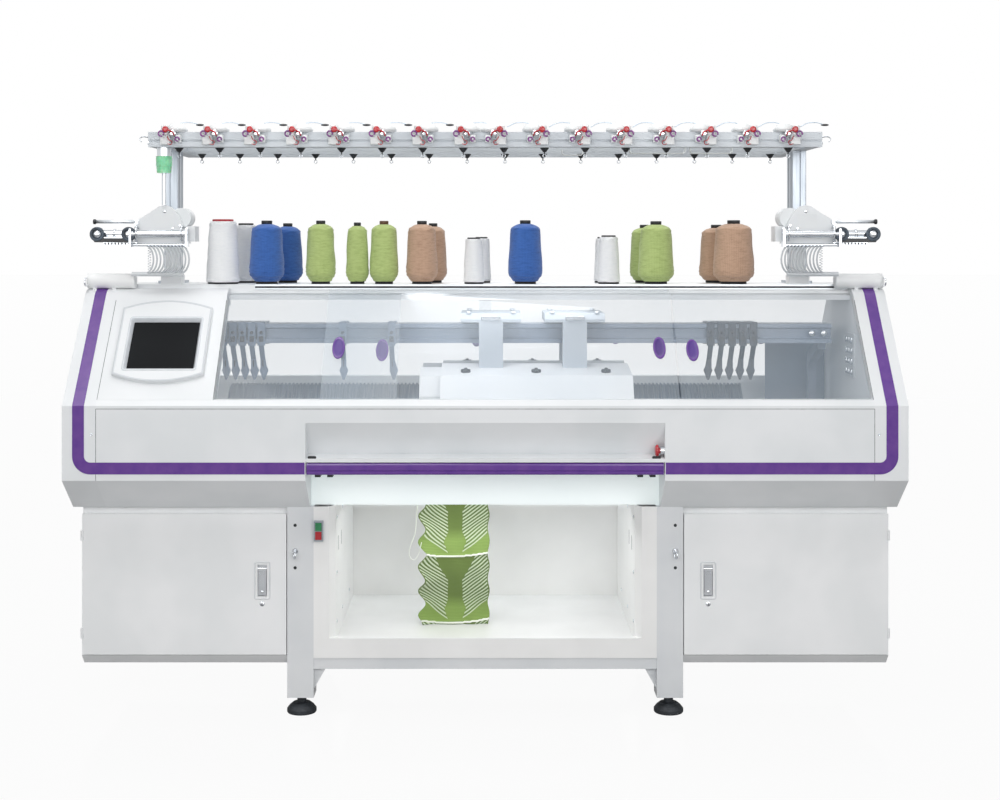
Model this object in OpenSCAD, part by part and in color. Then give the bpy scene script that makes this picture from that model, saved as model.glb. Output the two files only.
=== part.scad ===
/* [Overall] */
// Overall width across the end caps
overall_w = 2500; // [2100:10:3000]
// Overall depth of the housing
overall_d = 900; // [880:10:960]
// Width of each moulded end cap
cap_w = 100; // [80:5:130]
// Height of the housing's underside
under_z = 633; // [600:5:680]
// Height where the vertical front ends and the lower bevel starts
bevel_z = 732; // [715:2:745]
// How far the lower bevel runs back
bevel_run = 129; // [110:1:140]
// Height where the vertical front ends and the sloped covers start
slope_z = 953; // [945:1:960]
// Height of the top of the end caps
top_z = 1290; // [1286:1:1300]
// Angle of the sloped front, from the horizontal
slope_angle = 49.8; // [49:0.1:51]
// Radius of the bend from slope to top
top_r = 60; // [40:5:70]

/* [Stand] */
// Side of the square leg tube
leg_w = 80; // [70:2:90]
// Distance from the middle to the centre of a leg
leg_x = 561; // [550:1:620]
// Height of a levelling foot
foot_h = 53; // [45:1:60]
// Radius of a levelling foot's pad
foot_r = 45; // [35:1:50]
// Underside of the lower beams
beam_z = 140; // [120:2:150]
// Height of the lower beams
beam_h = 34; // [26:1:40]

/* [Bin] */
// Half of the clear width inside the bin
bin_half = 457; // [430:1:480]
// Thickness of the bin's sheet
bin_wall = 6; // [4:0.5:8]
// Height of the bin's floor above the beams
bin_floor = 40; // [30:1:44]
// Height of the front apron above the beams
apron_h = 60; // [52:1:70]

/* [Cabinets] */
// Underside of the side cabinets
cabinet_z = 152; // [130:2:180]
// Distance of the cabinet's outer wall from the end cap's outer face
cabinet_inset = 25; // [15:1:35]
// Thickness of the cabinet's walls
cabinet_wall = 10; // [6:1:12]
// Thickness of a cabinet door
door_t = 18; // [14:1:22]
// Height of the skirt under a door
skirt_h = 30; // [20:1:36]

/* [Covers] */
// Thickness of a clear cover
cover_t = 5; // [4:0.5:6]
// Depth of the outer track below the end cap's surface
track_outer = 4; // [3:0.5:6]
// Step between the two tracks
track_step = 12; // [9:0.5:14]
// Right side of the control housing, to the left of the middle
control_x = 806; // [760:2:840]

/* [Works] */
// Place of the needle gap behind the front, from the middle
bed_y = -60; // [-70:1:-50]
// Height of the needle beds at the gap
bed_z = 985; // [980:1:990]
// Angle of a needle bed
bed_angle = 40; // [38:0.5:42]
// Length of the needle beds
bed_len = 1640; // [1400:10:1700]
// Pitch of the needle grooves
needle_pitch = 12; // [10:1:20]
// Depth of a needle groove
groove_d = 5; // [3:0.5:8]
// Radius of a take-down roller
roller_r = 25; // [22:0.5:27]
// Half of the nip between the take-down rollers
nip = 1; // [0.8:0.1:2]
// Place of the carriage's middle at rest
carriage_x = 157; // [100:1:180]
// Width of the carriage
carriage_w = 586; // [520:2:600]

/* [Yarn stand] */
// Distance of a post from the middle
post_x = 1019; // [980:1:1030]
// Width of a post
post_w = 45; // [38:1:50]
// Underside of the rack
rack_z = 1732; // [1680:2:1760]
// Height of the rack's front beam
rack_beam_h = 46; // [38:1:50]
// Half of the rack's length
rack_half = 1045; // [1040:5:1100]
// Pitch of the tensioners
tension_pitch = 130; // [124:1:134]
// Number of tensioners
tension_count = 16; // [10:2:16]
// Scale of the yarn cones
cone_scale = 1; // [0.8:0.02:1.05]

/* [Hidden] */
$fn = 48;

half_w = overall_w / 2;
half_d = overall_d / 2;
mid_half = half_w - cap_w;
slope_corner = (top_z - slope_z) / tan(slope_angle) - half_d;
bend_y = slope_corner + top_r * tan(slope_angle / 2);
gap = 0.3;
seat = 0.02;
play = 0.05;
fold_t = 12;
recess_half = 531;
bevel_y = bevel_run - half_d;
leg_front = bevel_y + 1;
stand_d = 2 * -leg_front;
beam_top = beam_z + beam_h;
bin_z = beam_top + bin_floor;
leg_in = leg_x - leg_w / 2;
leg_out = leg_x + leg_w / 2;
back_inset = 105;
bin_back = half_d - back_inset;
bar_h = 36;
bar_z = 766;
bar_d = 35;
shelf_z = 797;
sill_low = slope_z - 9;
sill_top = slope_z + 16;
cover_z = sill_top + gap;
cover_end = bend_y + 14;
bevel_angle = atan((bevel_z - under_z) / bevel_run);
fold_drop = fold_t / cos(bevel_angle);
bed_run = 190;
bed_t = 28;
bed_drop = bed_t / cos(bed_angle);
bed_end_z = bed_z - bed_run * tan(bed_angle);
throat = roller_r + nip + 32;
throat_len = 545;
roller_z = 760;
rail_half = 45;
rail_z = 1116;
rail_h = 61;
table_t = 25;
table_z = top_z + 13;
table_half = 118;
rack_front = -200;
rack_back = 430;
cabinet_out = half_w - cabinet_inset;
cabinet_front = leg_front + door_t + 1;
purple = "#6a3c97";
white = "#eceeef";
grey = "#c9ccce";
dark = "#2b2d30";

// Points of an arc about [cy, cz] from angle a to angle b
function arc(cy, cz, r, a, b, n = 8) = [for (i = [0:n]) [cy + r * cos(a + (b - a) * i / n), cz + r * sin(a + (b - a) * i / n)]];

// Depth at which the sloped front stands at height z, offset o inwards
function slope_y(z, o = 0) = -half_d + (z - slope_z) / tan(slope_angle) + o / sin(slope_angle);

// Side outline of the front slope and its bend, offset inwards, from height z0 back to depth y1
function cover_path(o, z0, y1) = concat([[slope_y(z0, o), z0]],
    arc(bend_y, top_z - top_r, top_r - o, 90 + slope_angle, 90), [[y1, top_z - o]]);

function reversed(p) = [for (i = [len(p) - 1:-1:0]) p[i]];

function mirrored(p, about = 0) = [for (q = p) [2 * about - q[0], q[1]]];

// Extrudes a side outline of depth and height points along the width
module across(x0, x1, points) {
    translate([x0, 0, 0]) rotate([90, 0, 90]) linear_extrude(x1 - x0) polygon(points);
}

// A block given by its low and high corners
module block(a, b) {
    translate(a) cube(b - a);
}

module sides() {
    children();
    mirror([1, 0, 0]) children();
}

module stand() {
    color(grey) {
        for (s = [-1, 1]) for (y = [leg_front, -leg_front - leg_w]) {
            difference() {
                translate([s * leg_x - leg_w / 2, y, foot_h]) cube([leg_w, leg_w, under_z - foot_h]);
                translate([s * leg_x - leg_w / 2 + 5, y + 5, foot_h + 5])
                    cube([leg_w - 10, leg_w - 10, under_z - foot_h - 10]);
            }
        }
        for (s = [-1, 1]) {
            translate([s * leg_x - leg_w / 2, leg_front + leg_w, under_z - leg_w])
                cube([leg_w, stand_d - 2 * leg_w, leg_w]);
            translate([s * leg_x - leg_w / 4, leg_front + leg_w, beam_z])
                cube([leg_w / 2, stand_d - 2 * leg_w, beam_h]);
        }
        for (y = [leg_front + 4, -leg_front - 44])
            block([-leg_in, y, beam_z], [leg_in, y + 40, beam_top]);
        sides() for (y = [leg_front + 20, -leg_front - 28])
            translate([leg_in, y, beam_z]) rotate([-90, 0, 0])
                linear_extrude(8) polygon([[0, 0], [-36, 0], [0, 64]]);
    }
}

module feet() {
    color(dark) for (x = [-leg_x, leg_x]) for (y = [leg_front + leg_w / 2, -leg_front - leg_w / 2])
        translate([x, y, 0]) {
            rotate_extrude() polygon([[0, 0], [foot_r - 2, 0], [foot_r, 3], [foot_r, 12], [foot_r - 8, 22],
                [foot_r * 0.6, 30], [14, 32], [14, foot_h], [0, foot_h]]);
        }
}

module fabric_bin() {
    color(white) {
        block([-bin_half - bin_wall, leg_front + 30, bin_z - bin_wall], [bin_half + bin_wall, bin_back, bin_z]);
        block([-leg_in, leg_front, beam_top], [leg_in, leg_front + bin_wall, beam_top + apron_h]);
        block([-leg_in, leg_front, beam_top + apron_h - bin_wall], [leg_in, leg_front + 30, beam_top + apron_h]);
        block([-bin_half - bin_wall, leg_front + 30 - bin_wall, beam_top],
            [bin_half + bin_wall, leg_front + 30, beam_top + apron_h - bin_wall]);
        block([-bin_half - bin_wall, bin_back, beam_top], [bin_half + bin_wall, bin_back + bin_wall, under_z]);
        block([-bin_half, bin_back - 30, under_z - 110], [bin_half, bin_back, under_z - 38]);
        for (y = [leg_front + 50, bin_back - 95])
            block([-bin_half + 60, y, beam_top], [bin_half - 60, y + 30, bin_z - bin_wall]);
        sides() {
            block([bin_half, leg_front + 24, bin_z], [bin_half + bin_wall, bin_back, under_z]);
            translate([0, 0, beam_top + apron_h]) linear_extrude(under_z - beam_top - apron_h)
                polygon([[leg_in, leg_front], [bin_half + 18, leg_front], [bin_half, leg_front + 24],
                    [bin_half + bin_wall, leg_front + 24], [bin_half + 22, leg_front + bin_wall],
                    [leg_in, leg_front + bin_wall]]);
        }
    }
}

tube_half = bin_half - 32;

module lamp_tube() {
    color("white") {
        translate([-tube_half, bin_back - 44, under_z - 18]) rotate([0, 90, 0]) cylinder(r = 13, h = 2 * tube_half);
        for (x = [-tube_half - 15, tube_half]) block([x, bin_back - 60, under_z - 38], [x + 15, bin_back, under_z - 2]);
    }
}

hinge_r = 4;
hinge_h = 30;
knuckle_h = 8;
door_top = under_z - 22;
door_low = cabinet_z + skirt_h + 2;

// Places children at the foot of each of a door's two hinges
module hinges() {
    for (z = [door_low + 50, door_top - 50 - hinge_h])
        translate([cabinet_out - 0.5, cabinet_front - door_t, z]) children();
}

module cabinet() {
    color(white) difference() {
        block([leg_out, cabinet_front, cabinet_z + skirt_h], [cabinet_out, -bevel_y, under_z]);
        block([leg_out + cabinet_wall, cabinet_front - 1, cabinet_z + skirt_h + cabinet_wall],
            [cabinet_out - cabinet_wall, -bevel_y - cabinet_wall, under_z - 22]);
    }
    color(grey) across(leg_out, cabinet_out, [[cabinet_front - door_t + 2, cabinet_z + skirt_h],
        [cabinet_front + 14, cabinet_z], [-bevel_y - 14, cabinet_z], [-bevel_y, cabinet_z + skirt_h]]);
    color("silver") hinges() {
        cylinder(r = hinge_r / 2, h = hinge_h);
        for (z = [0, hinge_h - knuckle_h]) {
            translate([0, 0, z]) cylinder(r = hinge_r, h = knuckle_h);
            block([0.5, 0, z], [2.5, hinge_r + 1, z + knuckle_h]);
        }
        block([0.5, hinge_r + 1, 0], [2.5, door_t + 12, hinge_h]);
    }
}

module cabinet_right() cabinet();

module cabinet_left() mirror([1, 0, 0]) cabinet();

latch_x = leg_out + 76;
latch_z = 409;

module door() {
    barrel_h = hinge_h - 2 * (knuckle_h + gap);
    difference() {
        union() {
            difference() {
                color(white) block([leg_out + 3, cabinet_front - door_t, door_low],
                    [cabinet_out - 1, cabinet_front - gap, door_top]);
                block([leg_out + 15, cabinet_front - door_t + 2, door_low + 12],
                    [cabinet_out - 13, cabinet_front, door_top - 12]);
                hinges() translate([0, 0, -0.5]) cylinder(r = hinge_r + 0.5, h = hinge_h + 1);
            }
            color(grey) block([latch_x - 22, cabinet_front - door_t + 1, latch_z - 55],
                [latch_x + 22, cabinet_front - 1, latch_z + 55]);
            color("silver") hinges() translate([0, 0, knuckle_h + gap]) {
                cylinder(r = hinge_r, h = barrel_h);
                translate([-9, 0, 0]) cube([6, hinge_r - 0.5, barrel_h]);
            }
        }
        block([latch_x - 14, cabinet_front - door_t - 1, latch_z - 48],
            [latch_x + 14, cabinet_front - door_t + 9, latch_z + 48]);
        hinges() translate([0, 0, knuckle_h]) cylinder(r = hinge_r / 2 + play, h = hinge_h - 2 * knuckle_h);
    }
}

module door_right() door();

module door_left() mirror([1, 0, 0]) door();

module latch() {
    color("silver") {
        block([latch_x - 12, cabinet_front - door_t - 1, latch_z - 44],
            [latch_x + 12, cabinet_front - door_t + 6, latch_z + 36]);
        translate([latch_x - 13.6, cabinet_front - door_t + 3, latch_z + 36]) rotate([0, 90, 0])
            cylinder(r = 4, h = 27.2);
    }
}

module latch_right() latch();

module latch_left() mirror([1, 0, 0]) latch();

cap_side = concat([[bevel_y, under_z], [-half_d, bevel_z]], [[-half_d, slope_z]],
    arc(bend_y, top_z - top_r, top_r, 90 + slope_angle, 90));
cap_outline = concat(cap_side, reversed(mirrored(cap_side)));

end_roll_y = 305 - half_d;
end_roll_r = 23;
end_roll_len = 149;

module end_cap() {
    color(white) {
        across(mid_half, half_w, cap_outline);
        translate([half_w - end_roll_len - 1, end_roll_y, top_z + end_roll_r + 1]) rotate([0, 90, 0])
            cylinder(r = end_roll_r, h = end_roll_len);
        for (x = [half_w - 90, half_w - 30])
            block([x, end_roll_y - 12, top_z - 6], [x + 12, end_roll_y + 12, top_z + 8]);
        translate([half_w - 4.5, end_roll_y, top_z + 10]) rotate([90, 0, 0]) cylinder(r = 3, h = 40);
    }
}

module end_cap_right() end_cap();

module end_cap_left() mirror([1, 0, 0]) end_cap();

// Side outline of the folded front sheet with its lower bevel
fold_outline = [[bevel_y, under_z], [-half_d, bevel_z], [-half_d, sill_low], [fold_t - half_d, sill_low],
    [fold_t - half_d, bevel_z + fold_drop - fold_t * tan(bevel_angle)],
    [-half_d + (bevel_z + fold_drop - under_z) / tan(bevel_angle), under_z]];

cheek_outline = [[bevel_y + 6, under_z], [fold_t - half_d - 1, bevel_z], [fold_t - half_d - 1, sill_low],
    [75 - half_d, sill_low], [75 - half_d, shelf_z + 12], [164 - half_d, 762], [164 - half_d, under_z]];

module fascia_side() {
    color(white) {
        across(recess_half, mid_half, fold_outline);
        across(recess_half, recess_half + 6, cheek_outline);
    }
}

stop_y = 22 - half_d;
stop_z = shelf_z + 21;

module fascia_right() {
    difference() {
        union() {
            fascia_side();
            color("silver") translate([recess_half - 12, stop_y, stop_z]) rotate([0, 90, 0])
                cylinder(r = 13, h = 13);
        }
        translate([recess_half - 13, stop_y, stop_z]) rotate([0, 90, 0]) cylinder(r = 8 + play, h = 20);
    }
}

module fascia_left() mirror([1, 0, 0]) fascia_side();

module fascia_centre() {
    color(white) across(-recess_half, recess_half, [[-half_d, sill_low], [-half_d, sill_low - 41],
        [58 - half_d, shelf_z + 7], [3 - half_d, shelf_z], [3 - half_d, shelf_z - 11], [78 - half_d, shelf_z - 11],
        [78 - half_d, shelf_z + 3], [fold_t - half_d, sill_low - 41], [fold_t - half_d, sill_low]]);
}

module rear_panel() {
    color(white) across(-mid_half, mid_half, mirrored(fold_outline));
}

module sill() {
    side = [[-half_d, sill_low], [-half_d, slope_z], [slope_y(sill_top), sill_top], [52 - half_d, sill_top],
        [52 - half_d, sill_low]];
    color(white) {
        across(-mid_half, mid_half, side);
        across(-mid_half, mid_half, mirrored(side));
    }
}

ledge_z = top_z - track_outer - track_step - cover_t - gap;
rib_low = top_z - track_outer - track_step + gap;
rib_high = top_z - track_outer - cover_t - gap;

module yarn_table() {
    color(white) {
        block([-mid_half, -table_half, table_z - table_t], [mid_half, table_half, table_z]);
        for (m = [0, 1]) mirror([0, m, 0]) {
            block([-mid_half, -table_half, ledge_z - 14], [mid_half, 6 - table_half, table_z - table_t]);
            block([-control_x, -table_half - 20, ledge_z - 14], [mid_half, -table_half, ledge_z]);
            block([-control_x, -table_half - 8, rib_low], [mid_half, -table_half, rib_high]);
        }
    }
}

// Places children on the front slope: X across, Y up the slope, Z outwards
module on_slope(x, s, o = 0) {
    translate([x, -half_d, slope_z]) rotate([slope_angle, 0, 0]) translate([0, s, -o]) children();
}

// Outline with straight sides and a shallow bulge above and below
module bulged(w, h, sag, n = 12) {
    polygon(concat([for (i = [0:n]) let (u = 2 * i / n - 1) [u * w / 2, -h / 2 - sag * (1 - u * u)]],
        [for (i = [n:-1:0]) let (u = 2 * i / n - 1) [u * w / 2, h / 2 + sag * (1 - u * u)]]));
}

// Outline with round corners
module rounded(w, h, r) {
    polygon([for (c = [[1, 1, 0], [-1, 1, 90], [-1, -1, 180], [1, -1, 270]])
        each arc(c[0] * (w / 2 - r), c[1] * (h / 2 - r), r, c[2], c[2] + 90, 6)]);
}

screen_x = 171 - mid_half;
screen_s = 221;
screen_w = 208;
screen_h = 183;

module control_housing() {
    color(white) {
        difference() {
            across(-mid_half, -control_x, concat(cover_path(0, cover_z, -table_half - gap),
                reversed(cover_path(54, cover_z, -table_half - gap))));
            on_slope(screen_x, screen_s, 6) linear_extrude(20) square([screen_w + 2, screen_h + 2], center = true);
        }
        on_slope(screen_x - 2, screen_s + 12) difference() {
            linear_extrude(12, convexity = 4) bulged(276, 250, 28);
            translate([2, -12, -1]) linear_extrude(14) rounded(screen_w + 16, screen_h + 18, 8);
        }
    }
}

module display() {
    color(dark) on_slope(screen_x, screen_s, 6) linear_extrude(5) square([screen_w, screen_h], center = true);
}

grip_s = 215;
grip_w = 37;
grip_h = 80;

// Oval finger cup on a cover
module grip(x, o) {
    color(purple) on_slope(x, grip_s, o) difference() {
        translate([0, 0, -1]) linear_extrude(4)
            polygon([for (a = [0:15:345]) [grip_w / 2 * cos(a), grip_h / 2 * sin(a)]]);
        translate([0, 0, 1]) linear_extrude(4)
            polygon([for (a = [0:15:345]) [(grip_w / 2 - 5) * cos(a), (grip_h / 2 - 5) * sin(a)]]);
    }
}

module clear_cover(x0, x1, o) {
    color("lightblue", 0.4) across(x0, x1, concat(cover_path(o, cover_z, cover_end),
        reversed(cover_path(o + cover_t, cover_z, cover_end))));
}

grip_inset = 48;
left_end = 542 - control_x;
right_start = mid_half - 566;
centre_start = left_end - 226;
centre_end = right_start - 6;

module cover_left() {
    clear_cover(-control_x + 3, left_end, track_outer + track_step);
    grip(left_end - grip_inset - 2, track_outer + track_step);
}

module cover_centre() {
    clear_cover(centre_start, centre_end, track_outer);
    for (x = [centre_start + grip_inset - 4, centre_end - grip_inset]) grip(x, track_outer);
}

module cover_right() {
    clear_cover(right_start, mid_half - 3, track_outer + track_step);
    grip(right_start + grip_inset, track_outer + track_step);
}

module rear_cover_left() {
    mirror([0, 1, 0]) {
        clear_cover(-mid_half + 3, 20, track_outer + track_step);
        grip(-30, track_outer + track_step);
    }
}

module rear_cover_right() {
    mirror([0, 1, 0]) {
        clear_cover(-20, mid_half - 3, track_outer);
        for (x = [450, mid_half - 198]) grip(x, track_outer);
    }
}

bar_y = 21.5 - half_d;
pin_y = 49 - half_d;
pin_r = 4;
bracket_x = 481;

module operating_bar() {
    front = bar_y - bar_d / 2;
    color(purple) {
        across(-recess_half + 3, recess_half - 3, concat(arc(front + 7, bar_z + bar_h / 2 - 7, 7, 180, 90, 4),
            [[front + bar_d, bar_z + bar_h / 2], [front + bar_d, bar_z - bar_h / 2]],
            arc(front + 7, bar_z - bar_h / 2 + 7, 7, 270, 180, 4),
            [[front, bar_z - 7], [front + 2.5, bar_z - 6], [front + 2.5, bar_z - 4], [front, bar_z - 3]]));
        for (x = [-bracket_x, bracket_x]) difference() {
            union() {
                block([x - 9, front + bar_d - 1, bar_z - 8], [x + 9, pin_y, bar_z + 8]);
                translate([x - 9, pin_y, bar_z]) rotate([0, 90, 0]) cylinder(r = 8, h = 18);
            }
            translate([x - 10, pin_y, bar_z]) rotate([0, 90, 0]) cylinder(r = pin_r + play, h = 20);
        }
    }
}

module bar_brackets() {
    color(dark) for (x = [-bracket_x, bracket_x]) {
        for (s = [-1, 1]) translate([x + s * 18.5 - 8.5, 0, 0])
            across(0, 17, [[pin_y - 6, bar_z - 30], [pin_y - 6, shelf_z - 11], [78 - half_d, shelf_z - 11],
                [78 - half_d, bar_z - 30]]);
        translate([x - 14, pin_y, bar_z]) rotate([0, 90, 0]) cylinder(r = pin_r, h = 28);
    }
}

module stop_button() {
    color("red") translate([recess_half - 28, stop_y, stop_z]) rotate([0, 90, 0]) rotate_extrude()
        polygon([[0, 0], [12, 1], [17, 4], [18, 8], [16, 11], [8, 11], [8, 27], [0, 27]]);
}

box_x = -505;
box_z = 561;

module switch_box() {
    color("silver") difference() {
        block([box_x - 14, leg_front - 12, box_z - 31], [box_x + 14, leg_front, box_z + 31]);
        for (z = [box_z + 1, box_z - 26])
            block([box_x - 10, leg_front - 13, z], [box_x + 10, leg_front - 1.5, z + 25]);
    }
}

module key(z) {
    block([box_x - 9.5, leg_front - 15, z], [box_x + 9.5, leg_front - 5, z + 24]);
}

module start_key() color("green") key(box_z + 1.5);

module stop_key() color("red") key(box_z - 25.5);

module thread_hooks() {
    color("silver") for (x = [-leg_x - 16, leg_x + 16]) {
        translate([x, leg_front, 499]) rotate([90, 0, 0]) cylinder(r = 9, h = 3);
        translate([x, leg_front, 499]) rotate([90, 0, 0]) cylinder(r = 4, h = 14);
        translate([x, leg_front - 16, 489]) rotate([0, 90, 20]) rotate_extrude() translate([10, 0]) circle(r = 2.5, $fn = 20);
    }
}

base_out = bed_run + 28;
base_inset = 50;
base_half = mid_half - base_inset;
journal_r = 10;

base_top = bed_end_z - bed_drop - seat;

// Front half of the cast base, seen from the side, about the needle gap
base_side = [[-throat, under_z], [-throat, base_top + (bed_run + 8 - throat) * tan(bed_angle)],
    [-bed_run - 8, base_top], [-base_out, base_top], [-base_out, under_z]];

module bed_base() {
    color("slategray") difference() {
        translate([0, bed_y, 0]) for (m = [0, 1]) mirror([0, m, 0]) {
            across(-base_half, base_half, base_side);
            for (x = [-base_half, throat_len])
                block([x, -throat, under_z], [x + base_half - throat_len, 0, roller_z + 60]);
        }
        for (y = [bed_y - roller_r - nip, bed_y + roller_r + nip])
            translate([-throat_len - 30, y, roller_z]) rotate([0, 90, 0])
                cylinder(r = journal_r + play, h = 2 * throat_len + 60);
    }
}

module roller(side) {
    color("dimgray") translate([-throat_len - 25, bed_y + side * (roller_r + nip), roller_z]) rotate([0, 90, 0]) {
        cylinder(r = journal_r, h = 2 * throat_len + 50);
        translate([0, 0, 30]) cylinder(r = roller_r, h = 2 * throat_len - 10);
    }
}

module roller_front() roller(-1);

module roller_rear() roller(1);

needle_count = floor(bed_len / needle_pitch);

// Needle bed: a comb of grooves along the width, drawn down the slope
module needle_bed() {
    comb = concat([[0, -bed_drop], [needle_count * needle_pitch, -bed_drop]],
        [for (i = [needle_count - 1:-1:0]) for (q = [[1, 0], [0.6, 0], [0.6, -groove_d], [0, -groove_d]])
            [(i + q[0]) * needle_pitch, q[1]]]);
    color("lightsteelblue") translate([-needle_count * needle_pitch / 2, bed_y - 8, bed_z])
        multmatrix([[1, 0, 0, 0], [0, 0, -1, 0], [0, 1, -tan(bed_angle), 0], [0, 0, 0, 1]])
            linear_extrude(bed_run, convexity = 10) polygon(comb);
}

module needle_bed_front() needle_bed();

module needle_bed_rear() translate([0, 2 * bed_y, 0]) mirror([0, 1, 0]) needle_bed();

// Arm that carries one end of the feeder rail from the back of the base
rail_arm = concat([[bed_run + 8 + bed_y, base_top], [base_out + bed_y, base_top]],
    arc(base_out + bed_y - 60, rail_z - 90, 60, 0, 60, 6), [[bed_y + rail_half, rail_z + 8], [bed_y + rail_half, rail_z - 26]],
    arc(base_out + bed_y - 90, rail_z - 120, 60, 70, 0, 6));

module feeder_rail() {
    color("lightslategray") {
        across(-base_half, base_half, [for (q = [[-1, 0], [1, 0], [1, 12], [0.7, 16], [0.7, rail_h - 16],
            [1, rail_h - 12], [1, rail_h], [-1, rail_h], [-1, rail_h - 12], [-0.7, rail_h - 16], [-0.7, 16], [-1, 12]])
            [bed_y + q[0] * rail_half, rail_z + q[1]]]);
        for (x = [-base_half, base_half - 26]) across(x, x + 26, rail_arm);
    }
}

tip_z = 997;

// One feeder: a hook over the rail, an arm and a tapered nose down to the needle gap
module feeder(x, lean = 0) {
    top = rail_z + rail_h;
    translate([x, bed_y, 0]) {
        across(-12, 12, [[-rail_half - 6, rail_z - 8], [-rail_half - gap, rail_z - 8],
            [-rail_half - gap, top + gap], [rail_half + gap, top + gap], [rail_half + gap, rail_z - 8],
            [rail_half + 6, rail_z - 8], [rail_half + 6, top + 5], [-rail_half - 6, top + 5]]);
        across(-8, 8, [[-rail_half - 6, rail_z - 8], [-rail_half - 1, rail_z - 8], [-6, rail_z - 60], [-6, tip_z + 40],
            [-12, tip_z + 34], [-12, rail_z - 54]]);
        rotate([90, 0, 0]) translate([0, 0, 4]) linear_extrude(8) polygon([[-8, rail_z - 56], [8, rail_z - 56],
            [8 + lean, tip_z + 44], [14 + lean, tip_z + 30], [3 + lean, tip_z], [lean - 3, tip_z],
            [lean - 14, tip_z + 30], [lean - 8, tip_z + 44]]);
    }
}

module feeder_group(x0, pitch, count, lean = 0) {
    color("slategray") {
        for (i = [0:count - 1]) feeder(x0 + i * pitch, lean);
        top = rail_z + rail_h;
        if (count > 1)
            block([x0 - 12, bed_y - rail_half - 6, top + gap],
                [x0 + (count - 1) * pitch + 12, bed_y + rail_half + 6, top + 5]);
    }
}

module feeders_left() feeder_group(-830, 30, 5, 3);

module feeder_mid_left() feeder_group(-452, 0, 1);

module feeder_mid_right() feeder_group(-297, 0, 1, 5);

module feeders_right() feeder_group(715, 34, 5, -3);

bed_gap = gap / cos(bed_angle);

// Height of the carriage's top at distance y from the needle gap
function carriage_top(y) = bed_z + 68 - (y - 58) * 23 / 182;

carriage_half = [[-58, carriage_top(58)], [-240, carriage_top(240)], [-285, bed_z - 25], [-285, bed_end_z + bed_gap],
    [-bed_run - 8, bed_end_z + bed_gap], [-58, bed_z + bed_gap - 50 * tan(bed_angle)]];

module carriage() {
    color("whitesmoke") translate([0, bed_y, 0]) for (m = [0, 1]) mirror([0, m, 0]) {
        across(carriage_x - carriage_w / 2, carriage_x + carriage_w / 2, carriage_half);
        across(carriage_x - carriage_w / 2 - 66, carriage_x - carriage_w / 2 - gap,
            [[-80, bed_z + 58], [-200, bed_z + 40], [-230, bed_z - 20], [-230, bed_end_z + 40],
            [-80, bed_z + 8 - 72 * tan(bed_angle)]]);
        block([carriage_x - carriage_w / 2 - 10, -200, bed_z - 60], [carriage_x - carriage_w / 2, -120, bed_z]);
    }
}

bridge_w = 75;
head_w = 188;
bridge_top = 1213;
arch_top = rail_z + rail_h + 9;
bridge_edge = [[128, bridge_top - 18], [128, carriage_top(128)], [68, carriage_top(68)], [68, arch_top - 8], [60, arch_top]];
bridge_side = concat([[112, bridge_top]], bridge_edge, reversed(mirrored(bridge_edge)), [[-112, bridge_top]]);

module carriage_bridges() {
    color("lightgray") for (x = [18, 280]) translate([0, bed_y, 0]) {
        across(x - bridge_w / 2, x + bridge_w / 2, bridge_side);
        across(x - head_w / 2, x + head_w / 2, [[-128, arch_top], [128, arch_top], [128, bridge_top - 18],
            [112, bridge_top], [-112, bridge_top], [-128, bridge_top - 18]]);
    }
}

post_y = 50;
slot_w = 9;

// Slotted aluminium extrusion, as a plan outline
module slotted(w, d, h) {
    difference() {
        linear_extrude(h) rounded(w, d, 3);
        for (s = [-1, 1]) {
            for (y = [-d / 4, d / 4])
                translate([s * w / 2 - 7, y - slot_w / 2, -1]) cube([14, slot_w, h + 2]);
            translate([-slot_w / 2, s * d / 2 - 7, -1]) cube([slot_w, 14, h + 2]);
        }
    }
}

module posts() {
    color("silver") for (x = [-post_x, post_x]) translate([x, post_y, table_z]) {
        linear_extrude(8) rounded(post_w + 34, 124, 8);
        translate([0, 0, 8]) slotted(post_w, 2 * post_w, rack_z - table_z - 8);
    }
}

rail_rows = [-60, 175, 300];

module rack_frame() {
    color("gainsboro") {
        difference() {
            block([-rack_half, rack_front - 20, rack_z], [rack_half, rack_front + 20, rack_z + rack_beam_h]);
            block([-rack_half - 1, rack_front - 21, rack_z + 14], [rack_half + 1, rack_front - 15, rack_z + 22]);
        }
        for (x = [-rack_half + 12, rack_half - 32])
            block([x, rack_front + 20, rack_z], [x + 20, rack_back - 10, rack_z + 24]);
        for (x = [-post_x, post_x]) difference() {
            block([x - post_w / 2, rack_front + 20, rack_z], [x + post_w / 2, rack_back - 10, rack_z + 22]);
            block([x - post_w / 2 + 4, rack_front + 19, rack_z + 4], [x + post_w / 2 - 4, rack_back, rack_z + 23]);
        }
        block([-rack_half, rack_back - 10, rack_z + 2], [rack_half, rack_back + 10, rack_z + 22]);
        for (y = rail_rows)
            block([-rack_half + 32, y - 8, rack_z + 6], [rack_half - 32, y + 8, rack_z + 22]);
    }
}

function unit_x(i) = (i - (tension_count - 1) / 2) * tension_pitch - 15;

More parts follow.
